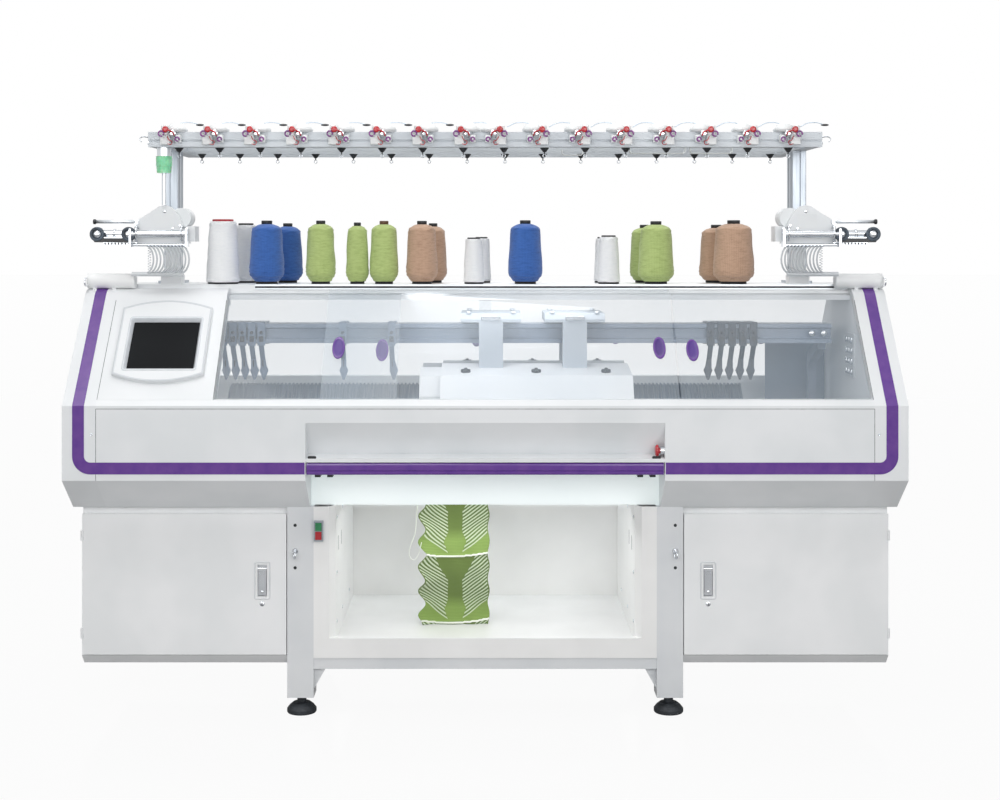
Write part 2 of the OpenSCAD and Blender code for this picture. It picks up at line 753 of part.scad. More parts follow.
module tensioners() {
    front = rack_front - 20;
    for (i = [0:tension_count - 1]) translate([unit_x(i), 0, 0]) {
        color("white") {
            block([-15, front - 14, rack_z + 6], [15, front, rack_z + rack_beam_h + 4]);
            block([-15, front - 14, rack_z + rack_beam_h], [15, front + 30, rack_z + rack_beam_h + 6]);
            block([-11, front - 26, rack_z + rack_beam_h - 14], [11, front - 14, rack_z + rack_beam_h + 18]);
            translate([30, front + 14, rack_z + rack_beam_h]) cylinder(r1 = 34, r2 = 22, h = 20);
            translate([30, front + 14, rack_z + rack_beam_h + 20]) cylinder(r1 = 22, r2 = 8, h = 9);
        }
        color("crimson") {
            translate([0, front - 26, rack_z + rack_beam_h + 2]) rotate([90, 0, 0]) cylinder(r = 8, h = 10);
            translate([14, front - 7, rack_z + 26]) rotate([0, 90, 0]) cylinder(r = 5, h = 22);
        }
        color("mediumvioletred") translate([-6, front - 15, rack_z + 12]) rotate([90, 0, 0])
            rotate_extrude() translate([6, 0]) circle(r = 1.8, $fn = 16);
    }
}

module thread_guides() {
    for (y = [rail_rows[0], rail_rows[2]]) for (i = [0:tension_count - 1])
        translate([unit_x(i) + (y > 0 ? 18 : 10), y, rack_z + 6]) color(dark) {
            translate([0, 0, -14]) cylinder(r1 = 5, r2 = 15, h = 14);
            translate([0, 0, -22]) cylinder(r = 2, h = 9);
            translate([0, 0, -26]) rotate([90, 0, 0]) rotate_extrude() translate([5, 0]) circle(r = 1.5, $fn = 16);
        }
}

lamp_x = -1002;
unit_y = -184;
unit_z = 1440;
unit_top = unit_z + 112;

module signal_lamp() {
    translate([lamp_x, unit_y - 3, rack_z]) {
        color("darkseagreen") translate([0, 0, unit_top - rack_z]) cylinder(r = 7, h = rack_z - unit_top - 80);
        color("silver") translate([0, 0, -28]) cylinder(r = 22, h = 28);
        color("lightgreen") {
            translate([0, 0, -58]) cylinder(r = 25, h = 30);
            translate([0, 0, -80]) cylinder(r1 = 22, r2 = 24, h = 22);
        }
    }
}

roller_in = 930;
roller_out = 1096;
feed_y = unit_y - 31;
feed_z = unit_z + 22;

// Side feeding unit on the right; the left one is its mirror image
module side_unit() {
    color(white) {
        block([964, -110, table_z], [1028, -50, table_z + 28]);
        block([976, -100, table_z + 28], [1016, -72, unit_z]);
        block([950, unit_y, unit_z], [1070, -66, unit_z + 14]);
        translate([0, unit_y + 8, 0]) rotate([90, 0, 0]) linear_extrude(12) polygon([[920, unit_z - 8],
            [930, unit_z + 20], [948, unit_z + 62], [964, unit_z + 92], [980, unit_z + 106], [998, unit_top],
            [1018, unit_z + 108], [1044, unit_z + 90], [1070, unit_z + 74], [1092, unit_z + 62], [1095, unit_z + 44],
            [1095, unit_z - 8]]);
        translate([952, unit_y + 8, unit_z + 72]) rotate([-90, 0, 0]) cylinder(r = 31, h = 78);
        block([906, unit_y, unit_z - 2], [936, unit_y + 70, unit_z + 46]);
    }
    color("silver") {
        for (x = [roller_in - 7, roller_out + 1]) difference() {
            block([x, feed_y - 12, unit_z - 18], [x + 6, unit_y - 4, unit_z + 38]);
            translate([x - 1, feed_y, feed_z]) rotate([0, 90, 0]) cylinder(r = 5 + play, h = 8);
        }
        translate([1090, unit_y - 10, unit_z + 60]) rotate([0, 90, 0]) cylinder(r = 5, h = 124);
        block([1080, unit_y - 14, unit_z + 54], [1094, unit_y - 4, unit_z + 66]);
        block([roller_out + 6, unit_y - 34, unit_z + 4], [1206, unit_y + 6, unit_z + 12]);
        block([1085, unit_y - 12, unit_z - 14], [1190, unit_y - 2, unit_z - 4]);
        translate([1194, unit_y - 14, unit_z + 22]) rotate([0, 90, 0]) cylinder(r = 19, h = 8);
        translate([roller_out + 6, unit_y - 14, unit_z + 22]) rotate([0, 90, 0]) cylinder(r = 12, h = 105);
    }
}

module side_unit_right() side_unit();

module side_unit_left() mirror([1, 0, 0]) side_unit();

fin_count = 11;
fin_r = 47;

// Comb of curved spring fins between an upper bar and a lower tube
module side_comb() {
    comb_y = unit_y - 21;
    color(white) {
        translate([roller_in - 1, comb_y, unit_z - 12]) rotate([0, 90, 0]) cylinder(r = 5, h = roller_out - roller_in + 2);
        for (i = [0:fin_count - 1]) translate([944 + 11 * i, comb_y, unit_z - 57]) rotate([0, 0, 40])
            translate([8, 1.5, 0]) rotate([90, 0, 0]) linear_extrude(3)
                polygon(concat(arc(0, 0, fin_r, 102, 258, 10), reversed(arc(0, 0, fin_r - 5, 102, 258, 10))));
        translate([938, comb_y, unit_z - 103]) rotate([0, 90, 0]) cylinder(r = 7, h = 160);
    }
}

module side_comb_right() side_comb();

module side_comb_left() mirror([1, 0, 0]) side_comb();

module side_roller() {
    color("silver") translate([roller_in - 8, feed_y, feed_z]) rotate([0, 90, 0]) {
        cylinder(r = 5, h = roller_out - roller_in + 16);
        translate([0, 0, 9]) cylinder(r = 11, h = roller_out - roller_in - 2);
    }
}

module side_roller_right() side_roller();

module side_roller_left() mirror([1, 0, 0]) side_roller();

front_row = -75;
back_row = 65;

// Yarn package wound on a tapered core: r widest radius, h height with the core
module package(x, y, r, h) {
    translate([x, y, table_z]) scale(cone_scale) rotate_extrude() polygon([[0, 0], [0.6 * r, 0], [0.58 * r, 7],
        [0.7 * r, 9], [r - 3, 0.13 * h], [r, 0.2 * h], [0.97 * r, 0.3 * h], [0.86 * r, 0.84 * h], [0.82 * r, 0.88 * h],
        [0.42 * r, 0.94 * h], [0.32 * r, 0.95 * h], [0.3 * r, h], [0, h]]);
}

// Slim yarn cone with a plain flat top
module slim_cone(x, y, r, h) {
    translate([x, y, table_z]) scale(cone_scale) rotate_extrude() polygon([[0, 0], [0.9 * r, 0], [0.9 * r, 5],
        [r, 8], [r, 0.08 * h], [0.8 * r, 0.95 * h], [0.74 * r, 0.97 * h], [0.6 * r, 0.97 * h], [0.58 * r, h], [0, h]]);
}

module cones_white() {
    color("white") {
        slim_cone(-837, front_row, 54, 206);
        slim_cone(-785, back_row, 40, 195);
        slim_cone(-36, front_row, 34, 148);
        slim_cone(-12, back_row, 32, 150);
        slim_cone(394, front_row, 37, 155);
        slim_cone(388, back_row, 32, 150);
    }
}

module cones_blue() {
    color("royalblue") {
        package(-697, front_row, 56, 202);
        package(-648, back_row, 50, 195);
        package(128, front_row, 55.5, 203);
    }
}

module cones_green() {
    color("yellowgreen") {
        package(-525, front_row, 48, 202);
        package(-408, front_row, 37, 196);
        package(-323, front_row, 46.5, 201);
        package(545, front_row, 57.5, 200);
        package(522, back_row, 48, 190);
    }
}

module cones_tan() {
    color("tan") {
        package(-202, front_row, 51, 201);
        package(-171, back_row, 46, 195);
        package(793, front_row, 66, 203);
        package(758, back_row, 56, 190);
    }
}

cloth_x = -96;
cloth_half = 112;
cloth_t = 7;
cloth_top = roller_z - roller_r - 4;
cloth_low = bin_z + gap;
cloth_steps = 30;

function cloth_y(k) = bed_y - 8 * (1 - k) + (14 * sin(720 * k + 20) - 4.8) * (1 - k * k * k * k);

function cloth_edge(k) = cloth_half + 6 * sin(900 * k) - 8 * abs(sin(360 * k));

// Hanging cloth: a waved side outline cut to scalloped edges, with its thin end held in the nip
module fabric() {
    rise = cloth_top - cloth_low;
    color("olivedrab") {
        intersection() {
            across(cloth_x - cloth_half - 10, cloth_x + cloth_half + 10, concat(
                [for (i = [0:cloth_steps]) let (k = i / cloth_steps) [cloth_y(k) - cloth_t / 2, cloth_low + k * rise]],
                [for (i = [cloth_steps:-1:0]) let (k = i / cloth_steps) [cloth_y(k) + cloth_t / 2, cloth_low + k * rise]]));
            translate([cloth_x, 200, 0]) rotate([90, 0, 0]) linear_extrude(500) polygon(concat(
                [for (i = [0:cloth_steps]) let (k = i / cloth_steps) [cloth_edge(k), cloth_low + k * rise]],
                [for (i = [cloth_steps:-1:0]) let (k = i / cloth_steps) [-cloth_edge(k), cloth_low + k * rise]]));
        }
        block([cloth_x - cloth_half + 8, bed_y - 0.7, cloth_top - 3], [cloth_x + cloth_half - 8, bed_y + 0.7, roller_z]);
    }
}

stand();
feet();
fabric_bin();
lamp_tube();
cabinet_left();
cabinet_right();
door_left();
door_right();
latch_left();
latch_right();
end_cap_left();
end_cap_right();
fascia_left();
fascia_centre();
fascia_right();
sill();
yarn_table();
control_housing();
display();
cover_left();
cover_centre();
cover_right();
rear_cover_left();
rear_cover_right();
rear_panel();
operating_bar();
bar_brackets();
stop_button();
switch_box();
start_key();
stop_key();
thread_hooks();
bed_base();
needle_bed_front();
needle_bed_rear();
roller_front();
roller_rear();
feeder_rail();
feeders_left();
feeder_mid_left();
feeder_mid_right();
feeders_right();
carriage();
carriage_bridges();
posts();
rack_frame();
tensioners();
thread_guides();
signal_lamp();
side_unit_left();
side_unit_right();
side_comb_left();
side_comb_right();
side_roller_left();
side_roller_right();
cones_white();
cones_blue();
cones_green();
cones_tan();
fabric();
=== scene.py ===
"""Flat knitting machine: finishes, yarn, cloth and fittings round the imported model."""

import math

import bpy
import numpy as np
from bpy.props import FloatProperty, FloatVectorProperty, IntProperty, PointerProperty
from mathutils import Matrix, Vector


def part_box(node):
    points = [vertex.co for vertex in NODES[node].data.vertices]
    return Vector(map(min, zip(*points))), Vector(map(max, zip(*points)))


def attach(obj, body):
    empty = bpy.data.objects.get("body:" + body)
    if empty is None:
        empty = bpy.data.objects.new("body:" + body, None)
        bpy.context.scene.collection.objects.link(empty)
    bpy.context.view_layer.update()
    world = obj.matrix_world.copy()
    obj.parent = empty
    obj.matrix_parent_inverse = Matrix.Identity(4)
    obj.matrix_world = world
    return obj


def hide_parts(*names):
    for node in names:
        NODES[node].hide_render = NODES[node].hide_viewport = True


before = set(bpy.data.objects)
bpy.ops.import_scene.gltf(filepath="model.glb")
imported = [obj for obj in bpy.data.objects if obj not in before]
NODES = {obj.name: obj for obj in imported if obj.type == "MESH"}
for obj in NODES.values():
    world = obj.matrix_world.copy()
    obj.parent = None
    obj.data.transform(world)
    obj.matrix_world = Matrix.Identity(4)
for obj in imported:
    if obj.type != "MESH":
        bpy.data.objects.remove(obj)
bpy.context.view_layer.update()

bl_info = {
    "name": "Flat knitting machine",
    "version": (1, 0, 0),
    "blender": (4, 5, 0),
    "location": "View3D > Sidebar > Knitting",
    "description": "Dresses the packed model of a flat knitting machine",
    "category": "Object",
}

HOUSING = "housing"

# Sizes in millimetres that several pieces share with the solids
HALF_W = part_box("end_cap_right")[1][0] * 1000
MID_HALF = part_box("fascia_right")[1][0] * 1000
HALF_D = -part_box("end_cap_right")[0][1] * 1000
SLOPE_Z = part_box("sill")[0][2] * 1000 + 9
TOP_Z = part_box("control_housing")[1][2] * 1000
SLOPE = math.radians(49.8)
TOP_R = 60.0
BEVEL_Z = 732.0
BEND_Y = (TOP_Z - SLOPE_Z) / math.tan(SLOPE) - HALF_D + TOP_R * math.tan(SLOPE / 2)
TABLE_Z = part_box("yarn_table")[1][2] * 1000
RACK_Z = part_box("rack_frame")[0][2] * 1000
CONTROL_X = 806.0
BED_Y = -60.0
LATCH_X = 677.0
LATCH_Z = 409.0
DOOR_FACE = -319.0
MOTOR_X = 952.0
UNIT_Y = -184.0
UNIT_Z = 1440.0


def colour(text, alpha=1.0):
    """Linear colour of an sRGB hex value."""
    c = np.array([int(text[i:i + 2], 16) for i in (1, 3, 5)]) / 255
    low = c / 12.92
    high = ((c + 0.055) / 1.055) ** 2.4
    return tuple(np.where(c <= 0.04045, low, high)) + (alpha,)


# Meshes: each piece gathers grids and outlines in millimetres and becomes one object


class Piece:
    """Vertices in millimetres, faces and their material numbers, gathered for one object."""

    def __init__(self):
        self.verts = []
        self.faces = []
        self.finish = []
        self.smooth = []
        self.uvs = []
        self.count = 0

    def grid(self, points, finish=0, around=False, caps=False, flip=False, uv=None, smooth=True):
        """Quads between neighbours of an (n, m, 3) array; around closes m, caps fills both ends.

        uv has one column more than points where around is set, so that the pattern closes."""
        p = np.asarray(points, float)
        n, m = p.shape[:2]
        a, b = np.meshgrid(np.arange(n - 1), np.arange(m if around else m - 1), indexing="ij")
        a2 = a + 1
        b2 = (b + 1) % m
        quads = np.stack([a * m + b, a * m + b2, a2 * m + b2, a2 * m + b], axis=-1).reshape(-1, 4)
        if uv is None:
            corner = np.zeros((len(quads), 4, 2))
        else:
            q = np.asarray(uv, float)
            corner = np.stack([q[a, b], q[a, b + 1], q[a2, b + 1], q[a2, b]], axis=-2).reshape(-1, 4, 2)
        if flip:
            quads = quads[:, ::-1]
            corner = corner[:, ::-1]
        self.faces += (quads + self.count).tolist()
        self.finish += [finish] * len(quads)
        self.smooth += [smooth] * len(quads)
        self.uvs.append(corner.reshape(-1, 2))
        if caps:
            first = self.count + np.arange(m)
            last = self.count + (n - 1) * m + np.arange(m)
            ends = [first[::-1], last] if not flip else [first, last[::-1]]
            self.faces += [e.tolist() for e in ends]
            self.finish += [finish, finish]
            self.smooth += [False, False]
            self.uvs.append(np.zeros((2 * m, 2)))
        self.verts.append(p.reshape(-1, 3))
        self.count += n * m

    def mirrored(self):
        """The same piece on the other side of the machine, with its faces turned round."""
        other = Piece()
        other.verts = [v * [-1, 1, 1] for v in self.verts]
        other.faces = [f[::-1] for f in self.faces]
        other.finish = list(self.finish)
        other.smooth = list(self.smooth)
        sizes = np.array([len(f) for f in self.faces])
        ends = np.cumsum(sizes)
        order = np.repeat(ends + ends - sizes - 1, sizes) - np.arange(sizes.sum())
        other.uvs = [np.concatenate(self.uvs)[order]]
        other.count = self.count
        return other

    def slab(self, outline, low, high, place, finish=0, smooth=False):
        """A flat outline, counter-clockwise, carried from low to high and put in place by a function."""
        o = np.asarray(outline, float)
        ring = [np.column_stack([o, np.full(len(o), h)]) for h in (low, high)]
        self.grid(place(np.stack(ring)), finish, around=True, caps=True, smooth=smooth)

    def block(self, low, high, finish=0, chamfer=1.0):
        """A box with chamfered upright edges and top and bottom rims."""
        low = np.asarray(low, float)
        high = np.asarray(high, float)
        c = min(chamfer, (high - low).min() / 3)
        rings = []
        for z, inset in ((low[2], c), (low[2] + c, 0), (high[2] - c, 0), (high[2], c)):
            x0, y0, x1, y1 = low[0] + inset, low[1] + inset, high[0] - inset, high[1] - inset
            ring = [[x0 + c, y0], [x1 - c, y0], [x1, y0 + c], [x1, y1 - c], [x1 - c, y1], [x0 + c, y1],
                    [x0, y1 - c], [x0, y0 + c]]
            rings.append([[x, y, z] for x, y in ring])
        self.grid(np.array(rings), finish, around=True, caps=True, smooth=False)

    def turned(self, profile, centre, axis="z", finish=0, n=32, smooth=True):
        """A profile of (radius, height) turned about an axis through centre: r cos a, r sin a, h."""
        p = np.asarray(profile, float)
        a = 2 * np.pi * np.arange(n) / n
        r = np.maximum(p[:, :1], 0.01)
        ring = np.stack([r * np.cos(a), r * np.sin(a), np.repeat(p[:, 1:], n, axis=1)], axis=-1)
        order = {"z": (0, 1, 2), "x": (2, 0, 1), "y": (1, 2, 0)}[axis]
        self.grid(ring[:, :, order] + np.asarray(centre, float), finish, around=True, caps=True,
                  smooth=smooth)

    def tube(self, path, radius, finish=0, n=10, up=(0.03, 0.05, 1.0)):
        """A round tube: circles across the path's tangents, turned from a fixed upward direction."""
        p = np.asarray(path, float)
        t = np.gradient(p, axis=0)
        t /= np.linalg.norm(t, axis=1, keepdims=True)
        side = np.cross(t, np.asarray(up, float))
        side /= np.linalg.norm(side, axis=1, keepdims=True)
        other = np.cross(side, t)
        a = 2 * np.pi * np.arange(n) / n
        r = np.broadcast_to(np.asarray(radius, float).reshape(-1, 1, 1), (len(p), 1, 1))
        a = a[None, :, None]
        ring = p[:, None] + r * (side[:, None] * np.cos(a) - other[:, None] * np.sin(a))
        self.grid(ring, finish, around=True, caps=True)

    def object(self, name, finishes, body=HOUSING, slot=None):
        """The gathered mesh as one object at the origin, riding on its body."""
        mesh = bpy.data.meshes.new(name)
        mesh.from_pydata((np.concatenate(self.verts) / 1000).tolist(), [], self.faces)
        mesh.polygons.foreach_set("material_index", self.finish)
        mesh.polygons.foreach_set("use_smooth", self.smooth)
        layer = mesh.uv_layers.new(name="surface")
        layer.data.foreach_set("uv", np.concatenate(self.uvs).ravel())
        for f in finishes:
            mesh.materials.append(f)
        mesh.validate()
        mesh.update()
        obj = bpy.data.objects.new(name, mesh)
        bpy.context.scene.collection.objects.link(obj)
        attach(obj, body)
        return obj


def arc(cx, cy, r, start, stop, n=8):
    """Points of an arc about (cx, cy), angles in degrees."""
    a = np.radians(np.linspace(start, stop, n + 1))
    return np.column_stack([cx + r * np.cos(a), cy + r * np.sin(a)])


def rounded(w, h, r, n=5):
    """Rectangle w by h with round corners, counter-clockwise from the lower right."""
    corners = ((1, -1, -90), (1, 1, 0), (-1, 1, 90), (-1, -1, 180))
    return np.vstack([arc(sx * (w / 2 - r), sy * (h / 2 - r), r, a, a + 90, n) for sx, sy, a in corners])


def oval(w, h, n=48):
    """Ellipse of width w and height h, counter-clockwise."""
    a = 2 * np.pi * np.arange(n) / n
    return np.column_stack([w / 2 * np.cos(a), h / 2 * np.sin(a)])


def smooth_path(points, n):
    """A path through hand-set points: each coordinate is a cubic blend of its neighbours (Catmull-Rom)."""
    p = np.asarray(points, float)
    q = np.vstack([2 * p[0] - p[1], p, 2 * p[-1] - p[-2]])
    t = np.linspace(0, len(p) - 1 - 1e-9, n)
    i = t.astype(int)
    f = (t - i)[:, None]
    a, b, c, d = q[i], q[i + 1], q[i + 2], q[i + 3]
    square = (2 * a - 5 * b + 4 * c - d) * f ** 2
    cube = (3 * b - a - 3 * c + d) * f ** 3
    return 0.5 * (2 * b + (c - a) * f + square + cube)


def along_x(section, places):
    """A section of (y, z) points repeated at each place along x."""
    return np.stack([np.column_stack([np.full(len(section), x), section]) for x in places])


def raised(outline, height):
    """An outline of (across, up) points with one height added to each."""
    return np.column_stack([outline, np.full(len(outline), height)])


def faced_front(profile):
    """A turned profile of (radius, height) whose height runs towards the front instead of the back."""
    return [(r, -h) for r, h in profile][::-1]


def on_slope(x, s, depth=0.0):
    """A function that places (across, up the slope, outward) about x and s on the sloped front."""
    def place(points):
        p = np.asarray(points, float)
        up = p[..., 1] + s
        out = p[..., 2] - depth
        y = -HALF_D + up * math.cos(SLOPE) - out * math.sin(SLOPE)
        z = SLOPE_Z + up * math.sin(SLOPE) + out * math.cos(SLOPE)
        return np.stack([p[..., 0] + x, y, z], axis=-1)
    return place


def facing_front(x, y, z):
    """A function that places (across, up, towards the front) about a point."""
    def place(points):
        p = np.asarray(points, float)
        return np.stack([p[..., 0] + x, y - p[..., 2], p[..., 1] + z], axis=-1)
    return place


# Finishes


def add(tree, kind, inputs=None, **settings):
    """Adds one node: inputs maps a socket's name or number to a value or to the socket that feeds it."""
    made = tree.nodes.new(kind)
    for key, value in settings.items():
        setattr(made, key, value)
    for key, value in (inputs or {}).items():
        socket = made.inputs[key]
        if isinstance(value, bpy.types.NodeSocket):
            tree.links.new(value, socket)
        else:
            socket.default_value = value
    return made


def ramp(tree, fac, low, high, a, b):
    """A colour that goes from a to b as fac goes from low to high."""
    made = add(tree, "ShaderNodeValToRGB", {"Fac": fac})
    made.color_ramp.elements[0].position = low
    made.color_ramp.elements[1].position = high
    made.color_ramp.elements[0].color = a
    made.color_ramp.elements[1].color = b
    return made.outputs["Color"]


class Finish:
    """A material with its shader, coordinates and helpers."""

    def __init__(self, name, **constants):
        self.material = bpy.data.materials.new(name)
        self.material.use_nodes = True
        self.tree = self.material.node_tree
        self.shader = self.tree.nodes["Principled BSDF"]
        for key, value in constants.items():
            self.shader.inputs[key.replace("_", " ")].default_value = value
        coordinates = add(self.tree, "ShaderNodeTexCoord")
        self.place = coordinates.outputs["Object"]
        self.uv = coordinates.outputs["UV"]

    def speckle(self, size_mm, detail=3.0, stretch=(1, 1, 1)):
        """Noise whose cells are size_mm across, stretched along an axis."""
        scaled = add(self.tree, "ShaderNodeMapping", {"Vector": self.place, "Scale": stretch})
        return add(self.tree, "ShaderNodeTexNoise",
                   {"Vector": scaled.outputs["Vector"], "Scale": 1000 / size_mm,
                                                     "Detail": detail}).outputs["Fac"]

    def bump(self, height, mm):
        """Sends a height field of mm depth to the shader's normal."""
        made = add(self.tree, "ShaderNodeBump", {"Height": height, "Strength": 1.0, "Distance": mm / 1000})
        self.tree.links.new(made.outputs["Normal"], self.shader.inputs["Normal"])

    def tint(self, fac, a, b, low=0.3, high=0.7):
        """Base colour between two hex colours."""
        self.tree.links.new(ramp(self.tree, fac, low, high, colour(a), colour(b)),
                            self.shader.inputs["Base Color"])

    def rough(self, fac, low, high):
        """Roughness between two values."""
        made = add(self.tree, "ShaderNodeMapRange", {"Value": fac, "To Min": low, "To Max": high})
        self.tree.links.new(made.outputs["Result"], self.shader.inputs["Roughness"])


def hex_text(rgb):
    """The hex value of a colour given as three shares of one."""
    return "#" + "".join("%02X" % round(255 * c) for c in rgb)


FINISHES = {}


def finish(maker, *args):
    """The material that a maker gives, made once for each set of arguments."""
    key = (maker.__name__,) + args
    if key not in FINISHES:
        FINISHES[key] = maker(*args)
    return FINISHES[key]


def enamel(tone, shade, gloss=0.30):
    """Powder-coated steel sheet: smooth, slightly orange-peeled, with a soft sheen."""
    f = Finish("powder coated steel " + tone[1:], Roughness=gloss, IOR=1.5)
    f.tint(f.speckle(180, 2.0), tone, shade, 0.35, 0.65)
    peel = f.speckle(3.0, 1.0)
    f.bump(peel, 0.03)
    f.rough(f.speckle(60, 2.0), gloss - 0.04, gloss + 0.06)
    return f.material


def moulded(tone, shade):
    """Moulded ABS: fine spark-eroded grain, drawn a little coarser than real so that it shows."""
    f = Finish("moulded plastic " + tone[1:], Roughness=0.42, IOR=1.53)
    f.tint(f.speckle(240, 2.0), tone, shade, 0.3, 0.7)
    f.bump(f.speckle(1.2, 2.0), 0.05)
    return f.material


def gloss_plastic(tone, shade, rough=0.18):
    """Glossy moulded plastic: deep colour under a clear skin with a sharp highlight."""
    f = Finish("gloss plastic " + tone[1:], Roughness=rough, IOR=1.5, Coat_Weight=0.3, Coat_Roughness=0.08)
    f.tint(f.speckle(35, 2.0), tone, shade)
    return f.material


def clear_sheet():
    """Bent polycarbonate sheet: faint blue haze, a bright gloss and slight waves from bending."""
    f = Finish("clear polycarbonate", Roughness=0.05, IOR=1.5, Alpha=0.12)
    f.tint(f.speckle(300, 1.0), "#E9F1F8", "#D8E6F2")
    f.bump(f.speckle(220, 1.0, (1, 0.3, 0.3)), 0.8)
    return f.material


def steel(tone="#A9AFB6"):
    """Ground steel: fine grinding lines along the width of the machine."""
    f = Finish("ground steel " + tone[1:], Metallic=1.0, Roughness=0.3)
    lines = f.speckle(60, 4.0, (1, 40, 40))
    f.tint(lines, tone, "#8D949C")
    f.rough(lines, 0.24, 0.4)
    f.bump(lines, 0.02)
    return f.material


def grooved_steel():
    """Milled needle bed: bright lands with dark slots, lines of the grinding wheel across them."""
    f = Finish("milled needle bed", Metallic=1.0, Roughness=0.28)
    f.tint(f.speckle(90, 4.0, (30, 1, 1)), "#B9C2CB", "#8F9AA6")
    f.bump(f.speckle(30, 3.0, (20, 1, 1)), 0.02)
    return f.material


def chrome():
    """Hard chrome on a polished bar: a near mirror."""
    f = Finish("hard chrome", Metallic=1.0, Roughness=0.08)
    f.tint(f.speckle(60, 2.0), "#DDE0E4", "#C9CDD2")
    f.rough(f.speckle(25, 3.0), 0.05, 0.14)
    return f.material


def aluminium(along=(30, 30, 1), tone="#E3E7EA", shade="#D0D5DA"):
    """Anodised extrusion: satin, with faint die lines along its length."""
    f = Finish("anodised aluminium " + tone[1:], Metallic=1.0, Roughness=0.34)
    lines = f.speckle(120, 4.0, along)
    f.tint(lines, tone, shade)
    f.rough(lines, 0.34, 0.48)
    f.bump(lines, 0.02)
    return f.material


def painted_iron(tone="#7E8C99"):
    """Cast iron under machine paint: lumpy skin and a dull gloss."""
    f = Finish("painted cast iron " + tone[1:], Roughness=0.45)
    f.tint(f.speckle(150, 3.0), tone, "#66737F")
    f.bump(f.speckle(6, 3.0), 0.15)
    return f.material


def rubber(tone="#1C2024"):
    """Moulded rubber: dull, dusty black with a fine grain."""
    f = Finish("moulded rubber " + tone[1:], Roughness=0.62)
    f.tint(f.speckle(25, 3.0), tone, "#2D3238")
    f.bump(f.speckle(1.5, 2.0), 0.08)
    f.rough(f.speckle(20, 3.0), 0.5, 0.75)
    return f.material


def black_plastic():
    """Black nylon: satin, near black, with a slight mould grain."""
    f = Finish("black nylon", Roughness=0.36)
    f.tint(f.speckle(30, 2.0), "#17181B", "#26282C")
    f.bump(f.speckle(1.5, 2.0), 0.04)
    return f.material


def screen_glass():
    """Display glass over a dark panel: almost black, a weak soft reflection, its tone varying a little at
    random.
    """
    f = Finish("display glass", Roughness=0.25, IOR=1.5, Specular_IOR_Level=0.02)
    f.tint(f.speckle(260, 1.0), "#1B1C1E", "#242628")
    return f.material


def lamp_glass(tone="#A9EFC4", shade="#86DCA8"):
    """Translucent lamp dome: light bounces inside, ribs show darker."""
    f = Finish("lamp dome " + tone[1:], Roughness=0.2, IOR=1.5, Subsurface_Weight=0.3)
    f.tint(f.speckle(20, 2.0), tone, shade)
    ribs = add(f.tree, "ShaderNodeTexWave", {"Vector": f.place, "Scale": 60.0}, bands_direction="Z")
    f.bump(ribs.outputs["Fac"], 0.6)
    return f.material


def lit_tube():
    """Light tube behind a diffuser: even cool white, brighter than its surroundings."""
    f = Finish("light tube diffuser", Roughness=0.5, Emission_Strength=5.0)
    f.tint(f.speckle(300, 1.0), "#FFFFFF", "#F4FBFF")
    f.shader.inputs["Emission Color"].default_value = colour("#F2FAFF")
    return f.material


def diffuser():
    """Faint cool-white glow for the bed base's lower front faces: painted light that brightens faces which
    lie in shade.
    """
    f = Finish("painted_glow diffuser", Roughness=0.4, Emission_Strength=0.33)
    f.tint(f.speckle(300, 1.0), "#EEF3F3", "#E6EDED")
    f.shader.inputs["Emission Color"].default_value = colour("#F4FFFD")
    return f.material


def yarn(tone, shade, turns):
    """Cross-wound yarn: two sets of threads round the package, a thread each 1.6 mm, drawn coarse to show.

    UV u runs once round the package and v is the height in millimetres over 100."""
    f = Finish("wound yarn " + tone[1:], Roughness=0.78, Sheen_Weight=0.25, Sheen_Roughness=0.5)
    parts = add(f.tree, "ShaderNodeSeparateXYZ", {"Vector": f.uv})
    heights = []
    for lean in (1, -1):
        shift = add(f.tree, "ShaderNodeMath", {0: parts.outputs["X"], 1: lean * turns}, operation="MULTIPLY")
        rise = add(f.tree, "ShaderNodeMath", {0: parts.outputs["Y"], 1: 62.0, 2: shift.outputs["Value"]},
                   operation="MULTIPLY_ADD")
        angle = add(f.tree, "ShaderNodeMath", {0: rise.outputs["Value"], 1: 2 * math.pi},
                    operation="MULTIPLY")
        heights.append(add(f.tree, "ShaderNodeMath", {0: angle.outputs["Value"]}, operation="SINE"))
    top = add(f.tree, "ShaderNodeMath", {0: heights[0].outputs["Value"], 1: heights[1].outputs["Value"]},
              operation="MAXIMUM")
    level = add(f.tree, "ShaderNodeMapRange", {"Value": top.outputs["Value"], "From Min": -1.0,
                                               "From Max": 1.0})
    blotch = f.speckle(20, 4.0, (1, 1, 4.5))
    mixed = add(f.tree, "ShaderNodeMath", {0: level.outputs["Result"], 1: 0.55, 2: blotch},
                operation="MULTIPLY_ADD")
    f.tint(mixed.outputs["Value"], shade, tone, 0.5, 0.92)
    f.bump(level.outputs["Result"], 0.5)
    return f.material


def card(tone, shade):
    """Pressed fibre core: matt with faint turned rings."""
    f = Finish("fibre core " + tone[1:], Roughness=0.55)
    rings = add(f.tree, "ShaderNodeTexWave", {"Vector": f.place, "Scale": 140.0}, bands_direction="Z")
    f.tint(rings.outputs["Fac"], tone, shade)
    f.bump(rings.outputs["Fac"], 0.15)
    return f.material


